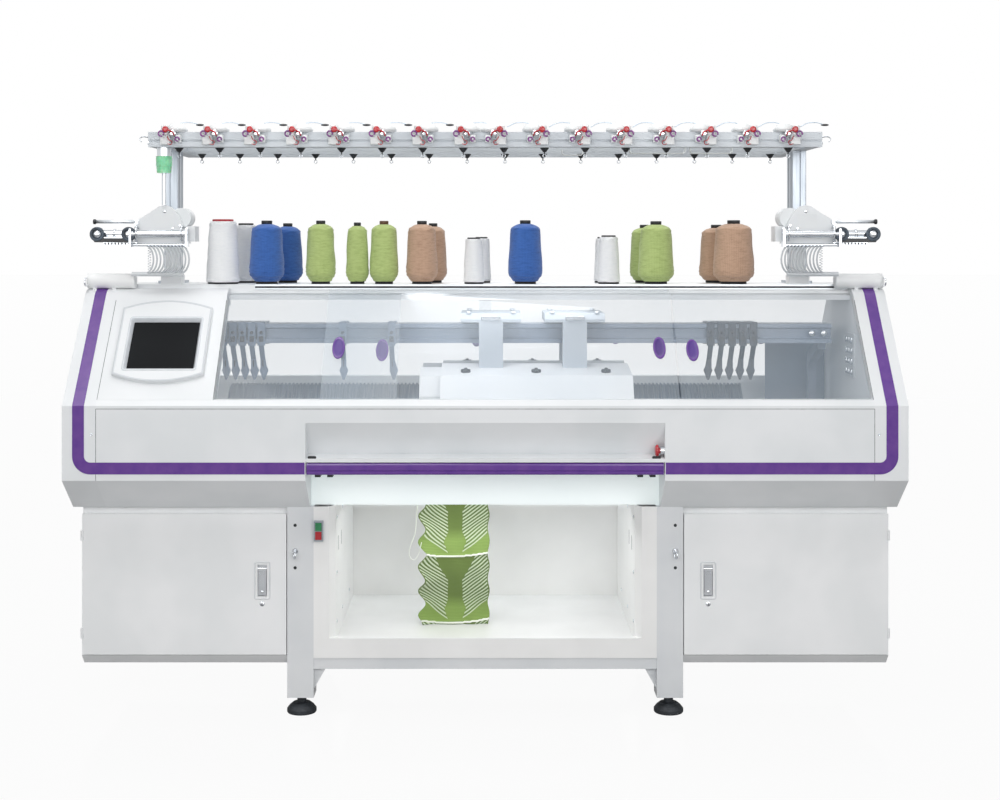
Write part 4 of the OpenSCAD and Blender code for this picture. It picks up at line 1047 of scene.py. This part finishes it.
class KNIT_OT_side_units(bpy.types.Operator):
    """Fittings of the side feeding units: hex nuts, link plate, drilled bar, clips, motor ribs and bolts"""
    bl_idname = "knitting.side_units"
    bl_label = "Side feeding units"

    def execute(self, context):
        piece = Piece()
        y = UNIT_Y
        z = UNIT_Z
        for x, h in ((1104, z + 22), (1207, z + 26)):
            piece.turned([(0.2, -1), (9, 0), (9.6, 2), (9.6, 10), (8.6, 12), (4, 12.4), (4, 16), (0.2, 16.4)],
                         (x, y - 14 if x > 1150 else y - 31, h), axis="x", finish=0, n=6, smooth=False)
        piece.turned([(0.2, 0), (20.5, 0), (21, 2), (21, 6), (19.5, 7.5), (12.5, 7.5), (12.5, 4), (0.2, 4)],
                     (1203, y - 14, z + 22), axis="x", finish=1, n=36)
        collar = [(13.2, 0), (15.4, 0), (15.4, 6), (13.2, 6)]
        for x in (1150, 1116):
            piece.turned(collar, (x, y - 14, z + 22), axis="x", finish=1, n=32)
        wheel = [(21, 0), (22.5, 1.5), (22.5, 9), (21, 11), (15.5, 11), (14.5, 9)]
        hub = [(14.5, 2), (14.5, 9), (10, 9.4), (9, 12), (5, 13), (0.2, 13)]
        for x in (1105, 1203):
            piece.turned(faced_front(wheel), (x, y - 30, z + 21), axis="y", finish=6, n=32)
            piece.turned(faced_front(hub), (x, y - 30, z + 21), axis="y", finish=1, n=32)
            piece.turned([(6, -30), (6, 0.5)], (x, y - 1, z + 21), axis="y", finish=1, n=16)
        link = [(1098, z - 6), (1210, z - 4), (1216, z + 4), (1210, z + 9), (1098, z + 9)]
        piece.slab(np.array(link) - [1157, z], 0, 4, facing_front(1157, y - 35, z), finish=2)
        for k in range(9):
            piece.turned([(3.3, -0.4), (3.3, 0.5), (0.2, 0.5)], (1100 + 10.5 * k, y - 12.2, z - 9), axis="y",
                         finish=2, n=14)
        piece.tube([[1090, y - 10, z + 60], [1213, y - 10, z + 60]], 5.6, finish=3, n=18)
        piece.turned([(0.2, 0), (7.5, 0), (8, 1.5), (8, 7), (6.5, 8), (0.2, 8.2)], (1213, y - 10, z + 60),
                     axis="x",
                     finish=2, n=20)
        for a in np.linspace(0, 2 * np.pi, 4, endpoint=False):
            piece.turned([(2.8, -3.6), (2.8, 0.5), (0.2, 0.5)],
                         (MOTOR_X + 22 * math.cos(a), y - 4.0, z + 40 + 9 * math.sin(a)), axis="y", finish=1,
                         n=12)
        motor = [(31.4, 0), (31.4, 6), (30, 7), (30, 12), (31.4, 13), (31.4, 60), (30.5, 72), (26, 77.6),
                 (12, 79),
                 (11, 80.5), (0.2, 81)]
        piece.turned(motor, (MOTOR_X, y + 7.4, z + 72), axis="y", finish=4, n=40)
        bracket = smooth_path([(1082, y - 6, z + 40), (1082, y - 22, z + 47), (1082, y - 36, z + 40),
                               (1082, y - 42, z + 24), (1082, y - 36, z + 6), (1082, y - 24, z)], 26)
        piece.tube(bracket, 3.0, finish=1, n=10, up=(1, 0, 0))
        inner = bracket - [140, 0, 0]
        piece.tube(inner, 3.0, finish=1, n=10, up=(1, 0, 0))
        for x, h in ((978, z + 30), (1058, z + 22), (1000, z + 92)):
            piece.turned([(0.2, -2.6), (4.2, -2.6), (5.2, -1.8), (5.2, 0.6), (0.2, 0.6)], (x, y - 4, h),
                         axis="y",
                         finish=1, n=18)
        plate = rounded(62, 44, 3)
        piece.slab(plate, 0.0, 0.6, facing_front(1004, y - 4, z + 62), finish=5)
        spring_turn = np.linspace(0, 2 * np.pi * 9, 180)
        coil = np.column_stack([1044 + 4.4 * np.cos(spring_turn), y - 21 + 4.4 * np.sin(spring_turn),
                                z - 96 + spring_turn / spring_turn[-1] * 74])
        piece.tube(coil, 0.9, finish=1, n=6, up=(0.2, 0.1, 1.0))
        names = [finish(gloss_plastic, "#B89A5A", "#9A7F45", 0.3), finish(chrome), finish(black_plastic),
                 finish(aluminium, (1, 30, 30)), finish(moulded, "#EDEFF0", "#DFE3E5"),
                 finish(enamel, "#E9EBEC", "#E0E3E5", 0.5), finish(rubber, "#5A6673")]
        piece.object("side_fittings_right", names, slot="cap_moulding")
        piece.mirrored().object("side_fittings_left", names, slot="cap_moulding")
        return {"FINISHED"}


class KNIT_OT_rack_fittings(bpy.types.Operator):
    """Pale guard channels under the rack, end bolts, post bolts and guide wires"""
    bl_idname = "knitting.rack_fittings"
    bl_label = "Rack fittings"

    def execute(self, context):
        piece = Piece()
        for x0, x1, y0 in ((462, 640, -44), (655, 790, -44), (250, 320, 60)):
            low = RACK_Z - 13
            bottom = [[x0 + 6, low], [x1 - 6, low], [x1, low + 6], [x1, RACK_Z + 5.5], [x1 - 2, RACK_Z + 5.5],
                      [x1 - 2, low + 7], [x1 - 7, low + 2], [x0 + 7, low + 2], [x0 + 2, low + 7],
                      [x0 + 2, RACK_Z + 5.5], [x0, RACK_Z + 5.5], [x0, low + 6]]
            middle = np.array([(x0 + x1) / 2, low])
            piece.slab(np.array(bottom) - middle, 0, 34, facing_front(middle[0], y0, middle[1]), finish=0)
        for s in (-1, 1):
            for y in (-208, -192, 422):
                piece.turned([(0.2, 0), (5, 0), (5, 3.5), (0.2, 3.6)],
                             (s * 1045 if s > 0 else -1048.6, y, RACK_Z + 12),
                             axis="x", finish=1, n=6, smooth=False)
            for y in (0, 100):
                piece.turned([(0.2, 22), (6, 22), (6, 26), (5, 27), (0.2, 27)], (s * 1019, y, RACK_Z),
                             finish=1, n=18)
        wire = smooth_path([(-1046, -200, RACK_Z + 30), (-1062, -212, RACK_Z + 32),
                            (-1068, -232, RACK_Z + 24),
                            (-1060, -246, RACK_Z + 14)], 20)
        piece.tube(wire, 2.0, finish=1, n=8)
        piece.tube(wire * [-1, 1, 1], 2.0, finish=1, n=8)
        for y in (-60, 300):
            piece.tube([[-1005, y, RACK_Z + 24], [1005, y, RACK_Z + 24]], 2.2, finish=1, n=8)
        piece.object("rack_fittings", [finish(enamel, "#EEF1F0", "#E2E7E5", 0.4), finish(chrome)],
                     slot="aluminium")
        return {"FINISHED"}


class KNIT_OT_table_rail(bpy.types.Operator):
    """Slotted aluminium track along the front and back edges of the yarn table, with a dark slot"""
    bl_idname = "knitting.table_rail"
    bl_label = "Table rail"

    def execute(self, context):
        piece = Piece()
        table = 118.0
        start, stop = -728.0, MID_HALF - 4
        profile = np.array([[0, 0.4], [3.6, 0.4], [3.6, 4], [1.4, 4], [1.4, 10], [3.6, 10], [3.6, 15.5],
                            [0, 15.5]])
        for s in (-1, 1):
            ring = np.column_stack([s * (table + profile[:, 0]), TOP_Z + profile[:, 1] - 3])
            piece.grid(along_x(ring, (start, stop)), around=True, caps=True, smooth=False, flip=s < 0)
            slot = np.array([[start, 3.9], [stop, 3.9], [stop, 10.1], [start, 10.1]])
            back = np.column_stack([slot[:, 0], np.full(4, s * (table + 1.5)), TOP_Z - 3 + slot[:, 1]])
            front = back + [0, s * 0.3, 0]
            piece.grid(np.stack([back, front]), finish=1, around=True, caps=True, smooth=False, flip=s > 0)
        piece.object("table_rail", [finish(aluminium, (1, 30, 30)), finish(rubber, "#15171A")],
                     slot="aluminium")
        return {"FINISHED"}


class KNIT_OT_works(bpy.types.Operator):
    """Fittings seen through the covers: carriage ribs and knobs, bolted plates and feeder plungers"""
    bl_idname = "knitting.works"
    bl_label = "Works under the covers"

    def execute(self, context):
        top = Piece()
        for x in (-92, 100, 200, 405):
            for s in (-1, 1):
                rib = np.array([[76, 1043.4], [76, 1049], [170, 1036], [232, 1030.0], [232, 1029.4]])
                rib[:, 0] = BED_Y + s * rib[:, 0]
                top.grid(along_x(rib, (x - 3.0, x + 3.0)), around=True, caps=True, smooth=False, flip=s > 0)
        for x in (-60, 157, 372):
            for s in (-1, 1):
                top.turned([(0.2, -2), (15, -2), (15, 7), (13, 9), (5, 9.4), (5, 13), (0.2, 13.4)],
                           (x, BED_Y + s * 190, 1036.5), finish=1, n=28)
        for x in (-180, 150, 440):
            top.block([x - 8, -331, 900], [x + 8, -326, 928], 2)
        for x in (18, 280):
            for dx in (-70, 70):
                for y in (-170, 50):
                    top.turned([(0.2, -1), (8, -1), (8, 5), (6.5, 6.5), (3.4, 6.5), (3.4, 3), (0.2, 3)],
                               (x + dx, y, 1213), finish=2, n=20)
            top.block([x - 30, -196, 1192], [x + 30, -187.6, 1206], 2, 2)
        top.object("carriage_fittings", [finish(moulded, "#EFF1F4", "#E2E6EA"), finish(black_plastic),
                                         finish(chrome)], body="carriage", slot="cap_moulding")
        rail = Piece()
        plate_y, plate_z, plate_t = -146, 1081, 3.0
        for x in (-1089, -1066, 1036, 1074):
            rail.turned([(0.2, -8), (9, -8), (10, -6.5), (10, 0.6), (0.2, 0.6)], (x, -105, 1147), axis="y",
                        finish=0,
                        n=24)
        for s in (-1, 1):
            wall = s * (MID_HALF - 0.2)
            plate = rounded(110, 140, 6) + [plate_y, plate_z]
            rail.grid(along_x(plate, (wall, wall - s * plate_t)), finish=1, around=True, caps=True,
                      smooth=False,
                      flip=s > 0)
            for row in range(4):
                for column in range(3):
                    y = plate_y + 34 * (column - 1)
                    z = plate_z + 33 * (row - 1.5)
                    ring = [(0.2, 0), (4, 0), (4.4, 4), (8, 5.5), (9.6, 4.5), (9.6, -1)]
                    rail.turned([(r, -s * h) for r, h in (ring[::-1] if s < 0 else ring)],
                                (wall - s * plate_t, y, z), axis="x", finish=0, n=20)
        rail.object("rail_fittings", [finish(chrome), finish(enamel, "#D8DBDE", "#CBD0D4")], slot="steel")
        # A blue-grey sheet towards the back of the right end darkens the view through the cover there:
        # painted shade standing for the shaded interior.
        end = Piece()
        end.block([948, 232, 832], [MID_HALF - 0.3, 235, 1152], 0, 0.8)
        end.object("painted_shade_sheet", [finish(enamel, "#8C99A8", "#7F8C9C", 0.4)], slot="grey_enamel")
        for body, first, pitch, count in (("feeders_left", -830, 30, 5), ("feeder_mid_left", -452, 0, 1),
                                          ("feeder_mid_right", -297, 0, 1), ("feeders_right", 715, 34, 5)):
            plunger = Piece()
            for i in range(count):
                x = first + i * pitch
                plunger.turned([(0.2, 1182), (5, 1182), (5, 1183.8), (3.6, 1184.8), (0.2, 1184.8)],
                               (x, -85, 0), finish=0, n=16)
                plunger.turned([(0.2, -6.4), (4.2, -6.2), (4.8, -5), (4.8, 0.4), (0.2, 0.4)], (x, -111, 1150),
                               axis="y", finish=1, n=16)
                plunger.block([x - 7, -113.4, 1120], [x + 7, -110.6, 1138], 1, 1)
                plunger.tube([[x, -74, 1060], [x, -66, 1008]], 1.6, finish=1, n=8)
            plunger.object(body + "_fittings", [finish(chrome), finish(black_plastic)], body=body,
                           slot="steel")
        return {"FINISHED"}


class KNIT_OT_bin_fittings(bpy.types.Operator):
    """Screws and slots on the bin's side walls"""
    bl_idname = "knitting.bin_fittings"
    bl_label = "Bin fittings"

    def execute(self, context):
        piece = Piece()
        wall = 457.0
        for s in (-1, 1):
            for y, z in ((-250, 590), (-250, 420), (-250, 270), (-60, 590), (-60, 270), (180, 590),
                         (180, 270)):
                head = [(0.2, 2.4), (3, 2.2), (6, 1.0), (6.4, -0.4)]
                piece.turned([(r, -s * h) for r, h in (head if s > 0 else head[::-1])], (s * wall, y, z),
                             axis="x",
                             finish=0, n=16)
            for y in (-190, -100):
                slot = rounded(46, 8, 3.9)[:, ::-1] + [y, 500]
                piece.grid(along_x(slot, [s * (wall - d) for d in (-0.2, 0.25)]), finish=1, around=True,
                           caps=True,
                           smooth=False, flip=s < 0)
        piece.object("bin_fittings", [finish(chrome), finish(rubber, "#3A3E42")], slot="steel")
        return {"FINISHED"}


class KNIT_OT_cabinet_fittings(bpy.types.Operator):
    """Key locks under the latches, the latches' recessed surrounds and finger pads"""
    bl_idname = "knitting.cabinet_fittings"
    bl_label = "Cabinet fittings"

    def execute(self, context):
        latch = Piece()
        x = LATCH_X
        latch.turned([(0.2, -2.4), (2, -2.4), (2, -1.8), (6.4, -1.8), (7.6, -0.8), (7.8, 0.6)],
                     (x, DOOR_FACE, 338),
                     axis="y", finish=0, n=24)
        latch.block([x - 0.7, -321.9, 333.5], [x + 0.7, -321.2, 342.5], 1, 0.1)
        rows = []
        for inset, high in ((0, 0.05), (0.6, 1.4), (2.4, 1.8), (4.2, 1.2), (5, 0.1)):
            outline = rounded(50 - 2 * inset, 116 - 2 * inset, max(7 - inset, 1.5))
            rows.append(raised(outline, high))
        latch.grid(facing_front(x, DOOR_FACE, LATCH_Z)(np.stack(rows)), finish=2, around=True)
        names = [finish(chrome), finish(black_plastic), grey_sheet()]
        latch.object("door_lock_right", names, body="door_right", slot="steel")
        latch.mirrored().object("door_lock_left", names, body="door_left", slot="steel")
        lever = Piece()
        lever.turned([(0.2, -1.9), (3.6, -1.7), (4.6, -0.6), (4.6, 0.4)], (x, -320, 375), axis="y", finish=0,
                     n=20)
        lever.block([x - 8, -321.6, 428], [x + 8, -319.6, 436], 0, 0.8)
        lever.object("latch_pad_right", [finish(chrome)], body="latch_right", slot="steel")
        lever.mirrored().object("latch_pad_left", [finish(chrome)], body="latch_left", slot="steel")
        return {"FINISHED"}


class KNIT_OT_leg_fittings(bpy.types.Operator):
    """Tapped holes on the legs and slots in the shelf before the bar"""
    bl_idname = "knitting.leg_fittings"
    bl_label = "Leg fittings"

    def execute(self, context):
        piece = Piece()
        for s in (-1, 1):
            for z in (577, 448):
                piece.turned([(0.2, -0.5), (4.4, -0.5), (5, -0.4), (5, 0.3)], (s * 577, -320, z), axis="y",
                             finish=0, n=18)
        for x in (-512.0, 506.0):
            piece.slab(rounded(26, 9, 4.4), -0.1, 0.35, facing_front(x, -446.6, 800.5), finish=0)
        piece.object("leg_fittings", [finish(black_plastic)], slot="black_plastic")
        return {"FINISHED"}


class KNIT_OT_cap_rollers(bpy.types.Operator):
    """Turned end rollers on the caps with grooves, end discs and bent wire guides"""
    bl_idname = "knitting.cap_rollers"
    bl_label = "End rollers"

    def execute(self, context):
        piece = Piece()
        z = TOP_Z + 24
        shell = [(0.2, 0), (20, 0), (23.4, 1.5), (24, 4), (24, 12), (23.4, 14), (23.4, 130), (24, 132),
                 (24, 145),
                 (22.5, 148.4), (16, 149), (15, 147), (6, 147), (5, 150), (0.2, 150.4)]
        piece.turned(shell, (HALF_W - 150.6, -145, z), axis="x", n=40)
        hook = smooth_path([(HALF_W - 1, -150, z - 16), (HALF_W - 1, -176, z - 14), (HALF_W - 1, -190, z - 6),
                            (HALF_W - 1, -186, z + 8), (HALF_W - 1, -172, z + 10)], 26)
        piece.tube(hook, 2.6, finish=1, n=10, up=(1, 0, 0))
        names = [finish(moulded, "#F2F3F3", "#E6E8E9"), finish(chrome)]
        piece.object("end_roller_right", names, slot="cap_moulding")
        piece.mirrored().object("end_roller_left", names, slot="cap_moulding")
        return {"FINISHED"}


# Name, place and width in metres and power in watts: five soft lamps round the machine and two inside it
LAMPS = (
    ("key", (-1.2, -2.3, 5.0), 2.4, 62.0),
    ("fill", (1.8, -4.2, 2.2), 3.0, 62.0),
    ("side", (-2.0, -4.2, 2.0), 3.0, 42.0),
    ("top", (0.0, 0.3, 4.6), 3.4, 58.0),
    ("back", (0.6, 3.6, 3.2), 2.6, 26.0),
    ("bin", (0.0, -0.12, 0.625), 0.8, 1.6),
    ("works", (0.06, -0.12, 1.26), 0.6, 0.8),
)


class KNIT_OT_stage(bpy.types.Operator):
    """White studio: a pale reflecting floor, an even white surround and seven soft lamps"""
    bl_idname = "knitting.stage"
    bl_label = "Stage"

    def execute(self, context):
        scene = context.scene
        scene.view_settings.view_transform = "Standard"
        world = bpy.data.worlds.new("studio")
        world.use_nodes = True
        scene.world = world
        tree = world.node_tree
        light = tree.nodes["Background"]
        light.inputs["Color"].default_value = colour("#FFFFFF")
        light.inputs["Strength"].default_value = 0.27
        seen = add(tree, "ShaderNodeBackground", {"Color": colour("#FFFFFF"), "Strength": 1.0})
        path = add(tree, "ShaderNodeLightPath")
        mirror = add(tree, "ShaderNodeMath", {0: path.outputs["Is Camera Ray"],
                                              1: path.outputs["Is Transmission Ray"]},
                     operation="MAXIMUM")
        either = add(tree, "ShaderNodeMath", {0: mirror.outputs["Value"], 1: path.outputs["Is Glossy Ray"]},
                     operation="MAXIMUM")
        mix = add(tree, "ShaderNodeMixShader", {0: either.outputs["Value"], 1: light.outputs["Background"],
                                                2: seen.outputs["Background"]})
        tree.links.new(mix.outputs["Shader"], tree.nodes["World Output"].inputs["Surface"])
        mesh = bpy.data.meshes.new("floor")
        mesh.from_pydata([(-40, -40, 0), (40, -40, 0), (40, 60, 0), (-40, 60, 0)], [], [(0, 1, 2, 3)])
        floor = bpy.data.objects.new("floor", mesh)
        scene.collection.objects.link(floor)
        f = Finish("lacquered studio floor", Roughness=0.09, IOR=1.45)
        f.tint(f.speckle(900, 1.0), "#B4B4B4", "#AEAEAE")
        own = add(f.tree, "ShaderNodeLightPath")
        glow = add(f.tree, "ShaderNodeEmission", {"Color": colour("#FFFFFF"), "Strength": 1.0})
        amount = add(f.tree, "ShaderNodeMath", {0: own.outputs["Is Camera Ray"], 1: 0.94},
                     operation="MULTIPLY")
        blended = add(f.tree, "ShaderNodeMixShader", {0: amount.outputs["Value"], 1: f.shader.outputs["BSDF"],
                                                      2: glow.outputs["Emission"]})
        f.tree.links.new(blended.outputs["Shader"], f.tree.nodes["Material Output"].inputs["Surface"])
        mesh.materials.append(f.material)
        for name, place, size, power in LAMPS:
            lamp = bpy.data.lights.new(name, "AREA")
            lamp.shape = "RECTANGLE"
            lamp.size = size
            lamp.size_y = size * 0.6
            lamp.energy = power
            holder = bpy.data.objects.new(name, lamp)
            holder.location = place
            holder.visible_camera = False
            aim = np.array([0.0, 0.05, 0.1 if size < 1 else 0.9]) - np.array(place)
            flat = math.hypot(aim[0], aim[1])
            holder.rotation_euler = (math.atan2(flat, -aim[2]), 0, math.atan2(-aim[0], aim[1]))
            scene.collection.objects.link(holder)
        return {"FINISHED"}


ORDER = ("camera", "finishes", "stripes", "seams", "cups", "control_panel", "yarn", "cloth", "tensioners",
         "side_units", "rack_fittings", "table_rail", "works", "bin_fittings", "cabinet_fittings",
         "leg_fittings",
         "cap_rollers", "stage")


class KNIT_PT_machine(bpy.types.Panel):
    """Lists the sizes, colours and pieces"""
    bl_label = "Flat knitting machine"
    bl_idname = "KNIT_PT_machine"
    bl_space_type = "VIEW_3D"
    bl_region_type = "UI"
    bl_category = "Knitting"

    def draw(self, context):
        for group in (context.scene.knitting_sizes, context.scene.knitting_colours):
            for name in group.bl_rna.properties.keys():
                if name not in ("rna_type", "name"):
                    self.layout.prop(group, name)
        for name in ORDER:
            self.layout.operator("knitting." + name)


CLASSES = (KnittingSizes, KnittingColours, KNIT_OT_camera, KNIT_OT_finishes, KNIT_OT_stripes, KNIT_OT_seams,
           KNIT_OT_cups, KNIT_OT_control_panel, KNIT_OT_yarn, KNIT_OT_cloth, KNIT_OT_tensioners,
           KNIT_OT_side_units,
           KNIT_OT_rack_fittings, KNIT_OT_table_rail, KNIT_OT_works, KNIT_OT_bin_fittings,
           KNIT_OT_cabinet_fittings,
           KNIT_OT_leg_fittings, KNIT_OT_cap_rollers, KNIT_OT_stage, KNIT_PT_machine)


def register():
    for c in CLASSES:
        bpy.utils.register_class(c)
    bpy.types.Scene.knitting_sizes = PointerProperty(type=KnittingSizes)
    bpy.types.Scene.knitting_colours = PointerProperty(type=KnittingColours)


def unregister():
    del bpy.types.Scene.knitting_colours
    del bpy.types.Scene.knitting_sizes
    for c in reversed(CLASSES):
        bpy.utils.unregister_class(c)


def main():
    register()
    for name in ORDER:
        getattr(bpy.ops.knitting, name)()


if __name__ == "__main__":
    main()
